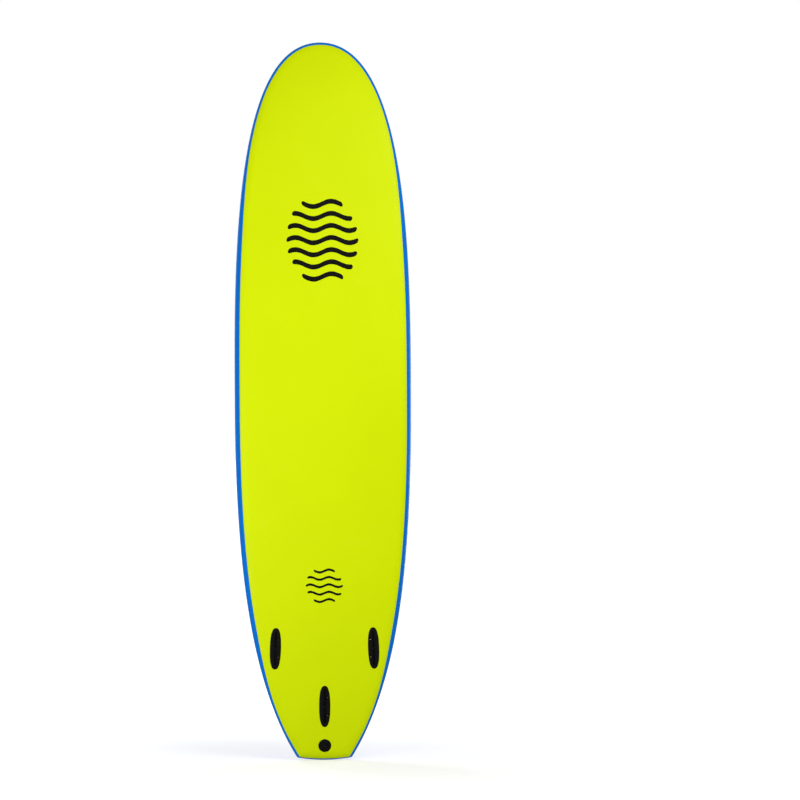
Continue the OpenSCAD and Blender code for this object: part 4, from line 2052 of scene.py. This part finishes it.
@dataclass
class WavePrint(Print):
    """A stack of printed waves, drawn by a rule of its own."""

    count: int
    pitch: float
    band: float
    reach: float
    swell: float
    taper: float = 0.82
    columns: int = 120

    def drawing(self) -> bpy.types.Object:
        """Repeats one wave, as long as it is wide, into a stack that tapers to its ends.

        Returns:
            The drawing.
        """
        sizes = {
            "Count": self.count,
            "Pitch": self.pitch,
            "Band": self.band,
            "Reach": self.reach,
            "Swell": self.swell,
            "Wavelength": self.reach,
            "Taper": self.taper,
            "Columns": self.columns,
        }
        tree = GeometryTree("wave_stack", sizes)
        g = tree.graph
        size = {"Size X": 2.0, "Size Y": 2.0, "Vertices X": tree.input("Columns"), "Vertices Y": 3}
        strip = g.node("GeometryNodeMeshGrid", size)
        x, y, _ = g.parts(g.value("GeometryNodeInputPosition"))
        crowded = (x * (math.pi / 2)).sine()
        marked = self.store(g, strip.outputs[0], "along", crowded, "POINT")
        marked = self.store(g, marked, "across", y, "POINT")
        spots = {"Count": tree.input("Count"), "Offset": (0.0, 0.0, 0.0)}
        line = g.node("GeometryNodeMeshLine", spots)
        copies = g.node("GeometryNodeInstanceOnPoints", {0: line.outputs[0], 2: marked})
        middle = (tree.input("Count") - 1) * 0.5
        step = g.value("GeometryNodeInputIndex") - middle
        share = (step / middle) * tree.input("Taper")
        reach = (1.0 - share * share).root() * tree.input("Reach")
        stacked = self.store(g, copies.outputs[0], "reach", reach, "INSTANCE")
        level = step * tree.input("Pitch")
        stacked = self.store(g, stacked, "level", level, "INSTANCE")
        whole = g.node("GeometryNodeRealizeInstances", {0: stacked}).outputs[0]
        far = self.read(g, "reach")
        half = tree.input("Band") * 0.5
        px = self.read(g, "along") * far
        past = ((abs(px) - (far - half)) / half).at_least(0.0).at_most(1.0)
        round_end = (1.0 - past * past).root()
        lift = (px * (2 * math.pi) / tree.input("Wavelength")).sine() * tree.input("Swell")
        py = self.read(g, "level") + self.read(g, "across") * half * round_end + lift
        spot = g.value("ShaderNodeCombineXYZ", {0: px, 1: py})
        moved = g.node("GeometryNodeSetPosition", {0: whole, "Position": spot})
        tree.close(moved.outputs[0], self.finish.material())
        made = make_object(self.name, bpy.data.meshes.new(self.name))
        tree.apply(made)
        return made

    @staticmethod
    def store(
        g: Graph, geometry: bpy.types.NodeSocket, name: str, value: Value, domain: str
    ) -> bpy.types.NodeSocket:
        """Stores a number on points or instances.

        Args:
            g: the tree's graph.
            geometry: what has the points or instances.
            name: the number's name.
            value: the number.
            domain: POINT or INSTANCE.

        Returns:
            The geometry with the number.
        """
        inputs = {0: geometry, "Name": name, "Value": value}
        kept = g.node(
            "GeometryNodeStoreNamedAttribute", inputs, data_type="FLOAT", domain=domain
        )
        return kept.outputs[0]

    @staticmethod
    def read(g: Graph, name: str) -> Value:
        """Reads a stored number."""
        return g.value("GeometryNodeInputNamedAttribute", {"Name": name}, data_type="FLOAT")


@dataclass
class FrameLines(Print):
    """Thin printed lines that frame a print in a plain hexagon."""

    radii: tuple[float, ...]
    line: float
    per_side: int = 14
    softened: float = 0.955

    def drawing(self) -> bpy.types.Object:
        """Draws one flat band along each hexagon.

        Returns:
            The drawing.
        """
        points, faces = [], []
        for radius in self.radii:
            start = len(points)
            for size in (radius - self.line / 2, radius, radius + self.line / 2):
                points += self.hexagon(size)
            band = grid_faces(3, HEXAGON * self.per_side, False, True)
            faces += [[start + v for v in f] for f in band]
        mesh = bpy.data.meshes.new(self.name)
        mesh.from_pydata(points, [], faces)
        return make_object(self.name, mesh)

    def hexagon(self, radius: float) -> list[tuple[float, float, float]]:
        """Points round a hexagon with softened corners.

        Args:
            radius: from its middle to a sharp corner.

        Returns:
            The points, in X and Y.
        """
        spots = []
        sixth = math.pi / 3
        count = HEXAGON * self.per_side
        for k in range(count):
            a = 2 * math.pi * k / count
            off = (a + sixth / 2) % sixth - sixth / 2
            sharp = radius * math.cos(sixth / 2) / math.cos(off)
            r = min(sharp, radius * self.softened)
            spots.append((r * math.sin(a), r * math.cos(a), 0.0))
        return spots


# ---------------------------------------------------------------- studio


@dataclass(frozen=True)
class SoftLamp:
    """A square soft lamp: its name, its place in metres, its side and its power in watts."""

    name: str
    place: tuple[float, float, float]
    power: float
    side: float = 1.4


@dataclass
class Studio:
    """White floor, soft lamps and the camera."""

    floor_reach: float = 60.0
    floor_drop: float = 0.5 * MM
    floor_grey: float = 0.55
    floor_roughness: float = 0.9
    floor_seen_grey: float = 0.62
    floor_glow: Span = (0.50, 0.55)
    floor_fade: Span = (0.4, 2.4)
    sky_seen: float = 1.0
    sky_light: float = 0.30
    azimuth: float = math.radians(-2.5)
    distance: float = 12.0
    view_h: float = 2.7115
    shift: float = 0.0966
    roll: float = math.radians(-0.3)
    sensor: float = 36.0
    sight: float = 200.0
    aim_rise: float = 0.3
    lamps: tuple[SoftLamp, ...] = (
        SoftLamp("key_bottom", (1.10, -2.0, 2.58), 32),
        SoftLamp("fill_bottom", (-1.19, -2.0, 0.86), 25),
        SoftLamp("key_deck", (-1.63, 2.4, 2.60), 43),
        SoftLamp("fill_deck", (2.43, 2.6, 0.60), 72),
    )

    def floor(self) -> None:
        """The pale floor, which keeps the object's shadow."""
        far, z = self.floor_reach, CAD_BOX[0][2] - self.floor_drop
        corners = [(-far, -far, z), (far, -far, z), (far, far, z), (-far, far, z)]
        mesh = bpy.data.meshes.new("floor")
        mesh.from_pydata(corners, [], [[0, 1, 2, 3]])
        floor = make_object("floor", mesh)
        made = bpy.data.materials.new("white_floor")
        made.use_nodes = True
        tree = made.node_tree
        graph = Graph(tree)
        shader = tree.nodes["Principled BSDF"]
        for name, value in {
            "Base Color": grey(self.floor_grey),
            "Roughness": self.floor_roughness,
            "Specular IOR Level": 0.0,
        }.items():
            graph.feed(shader.inputs[name], value)
        x, y, _ = graph.parts(graph.value("ShaderNodeTexCoord", output="Object"))
        fade = (x * x + y * y).root().step(*self.floor_fade)
        near, more = self.floor_glow
        shine = {"Color": grey(1), "Strength": near + fade * more}
        glow = graph.node("ShaderNodeEmission", shine)
        matt = graph.node("ShaderNodeBsdfDiffuse", {"Color": grey(self.floor_seen_grey)})
        both = graph.node("ShaderNodeAddShader", {0: glow.outputs[0], 1: matt.outputs[0]})
        mixed = graph.mix_shader(self.seen(graph), shader, both)
        graph.feed(tree.nodes["Material Output"].inputs["Surface"], mixed)
        mesh.materials.append(made)

    @staticmethod
    def seen(graph: Graph) -> Value:
        """1 for rays that show the background, as seen, mirrored or through glass.

        Args:
            graph: the graph to add the nodes to.

        Returns:
            The factor.
        """
        path = graph.node("ShaderNodeLightPath")
        camera, glossy, through = (
            Value(graph, path.outputs[f"Is {kind} Ray"])
            for kind in ("Camera", "Glossy", "Transmission")
        )
        return camera.at_least(glossy).at_least(through)

    def world(self) -> None:
        """White where it is seen, and a soft grey light on the object."""
        world = bpy.data.worlds.new("studio")
        bpy.context.scene.world = world
        world.use_nodes = True
        graph = Graph(world.node_tree)
        world.node_tree.nodes.clear()
        light, white = (
            graph.node("ShaderNodeBackground", {"Color": grey(1), "Strength": strength})
            for strength in (self.sky_light, self.sky_seen)
        )
        mixed = graph.mix_shader(self.seen(graph), light, white)
        graph.node("ShaderNodeOutputWorld", {0: mixed})

    def hang(self, lamp: SoftLamp, target: Vector) -> None:
        """Hangs one lamp.

        Args:
            lamp: the lamp.
            target: what it faces.
        """
        data = bpy.data.lights.new(lamp.name, "AREA")
        data.size = lamp.side
        data.energy = lamp.power
        made = bpy.data.objects.new(lamp.name, data)
        bpy.context.scene.collection.objects.link(made)
        made.location = lamp.place
        made.rotation_mode = "QUATERNION"
        made.rotation_quaternion = (target - made.location).to_track_quat("-Z", "Y")

    def camera(self, middle: Vector) -> None:
        """A long lens level with the board's middle, a little to its left.

        Args:
            middle: the middle of the solids' box.
        """
        data = bpy.data.cameras.new("camera")
        data.sensor_width = self.sensor
        data.lens = self.sensor * self.distance / self.view_h
        data.shift_x = self.shift
        data.clip_end = self.sight
        camera = bpy.data.objects.new("camera", data)
        bpy.context.scene.collection.objects.link(camera)
        back = Vector((math.sin(self.azimuth), -math.cos(self.azimuth), 0.0))
        camera.location = middle + back * self.distance
        camera.rotation_mode = "QUATERNION"
        level = (-back).to_track_quat("-Z", "Y")
        camera.rotation_quaternion = level @ Quaternion(UP, self.roll)
        bpy.context.scene.camera = camera

    def build(self) -> None:
        """Builds the studio round the solids' box."""
        (_, _, low), (_, _, high) = CAD_BOX
        middle = UP * ((low + high) / 2)
        self.floor()
        self.world()
        for lamp in self.lamps:
            self.hang(lamp, middle + UP * self.aim_rise)
        self.camera(middle)
        bpy.context.scene.view_settings.view_transform = "Standard"


def grey(level: float) -> tuple[float, float, float, float]:
    """A grey as a colour socket takes it."""
    return (level, level, level, 1.0)


# ---------------------------------------------------------------- the whole board


@dataclass
class Surfboard:
    """The whole board: skins, prints, fin boxes, leash plug and inner solids."""

    form: BoardForm
    prints: Sequence[Print]

    def dress_solids(self) -> None:
        """Gives every solid that stays a procedural finish."""
        for name, solid in frame["nodes"].items():
            if solid.hide_render:
                continue
            finish = next(f for key, f in SOLID_FINISHES.items() if key in name)
            if not solid.material_slots:
                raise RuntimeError(f"{name} has no material slot")
            for slot in solid.material_slots:
                slot.material = finish.material()
            log.info("%s is dressed with %s", name, finish.name)

    def build(self) -> None:
        """Builds every piece in order."""
        plug = LeashPlug(self.form)
        boxes = [FinBox(place) for place in Place]
        skins = Skins(self.form).build(plug, boxes)
        for box in boxes:
            box.build()
        plug.build()
        for motif in self.prints:
            motif.build(skins[motif.face])
        self.dress_solids()


def prints() -> list[Print]:
    """The board's plain printed motifs.

    Returns:
        The prints, in the order in which they are laid.
    """

    def waves(face: Face, size: str, count: int, *millimetres: float) -> WavePrint:
        """One stack of waves.

        Args:
            face: the face that it is printed on.
            size: large or small, for its name.
            count: how many waves it has.
            millimetres: its height, pitch, band, reach and swell.

        Returns:
            The print.
        """
        height, *sizes = (value * MM for value in millimetres)
        ink = BLACK_INK if face is Face.BOTTOM else LIME_INK
        return WavePrint(f"print_{face.name.lower()}_{size}", face, height, ink, count, *sizes)

    radii = (106 * MM, 96 * MM)
    return [
        waves(Face.BOTTOM, "large", 7, 1759, 41, 17, 122, 9),
        waves(Face.BOTTOM, "small", 5, 592, 25, 8, 63, 4.5),
        waves(Face.DECK, "large", 5, 1754, 21, 8, 66, 4.5),
        FrameLines("print_deck_frame", Face.DECK, 1754 * MM, LIME_INK, radii, 3.2 * MM),
        waves(Face.DECK, "small", 5, 589, 25, 7.5, 63, 4.5),
    ]


def main() -> None:
    """Builds the board and its studio."""
    logging.basicConfig(level=logging.INFO, format="%(name)s: %(message)s")
    low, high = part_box("deck_skin")
    form = BoardForm(length=high.z, width=high.x - low.x)
    Studio().build()
    Surfboard(form, prints()).build()


if __name__ == "__main__":
    main()
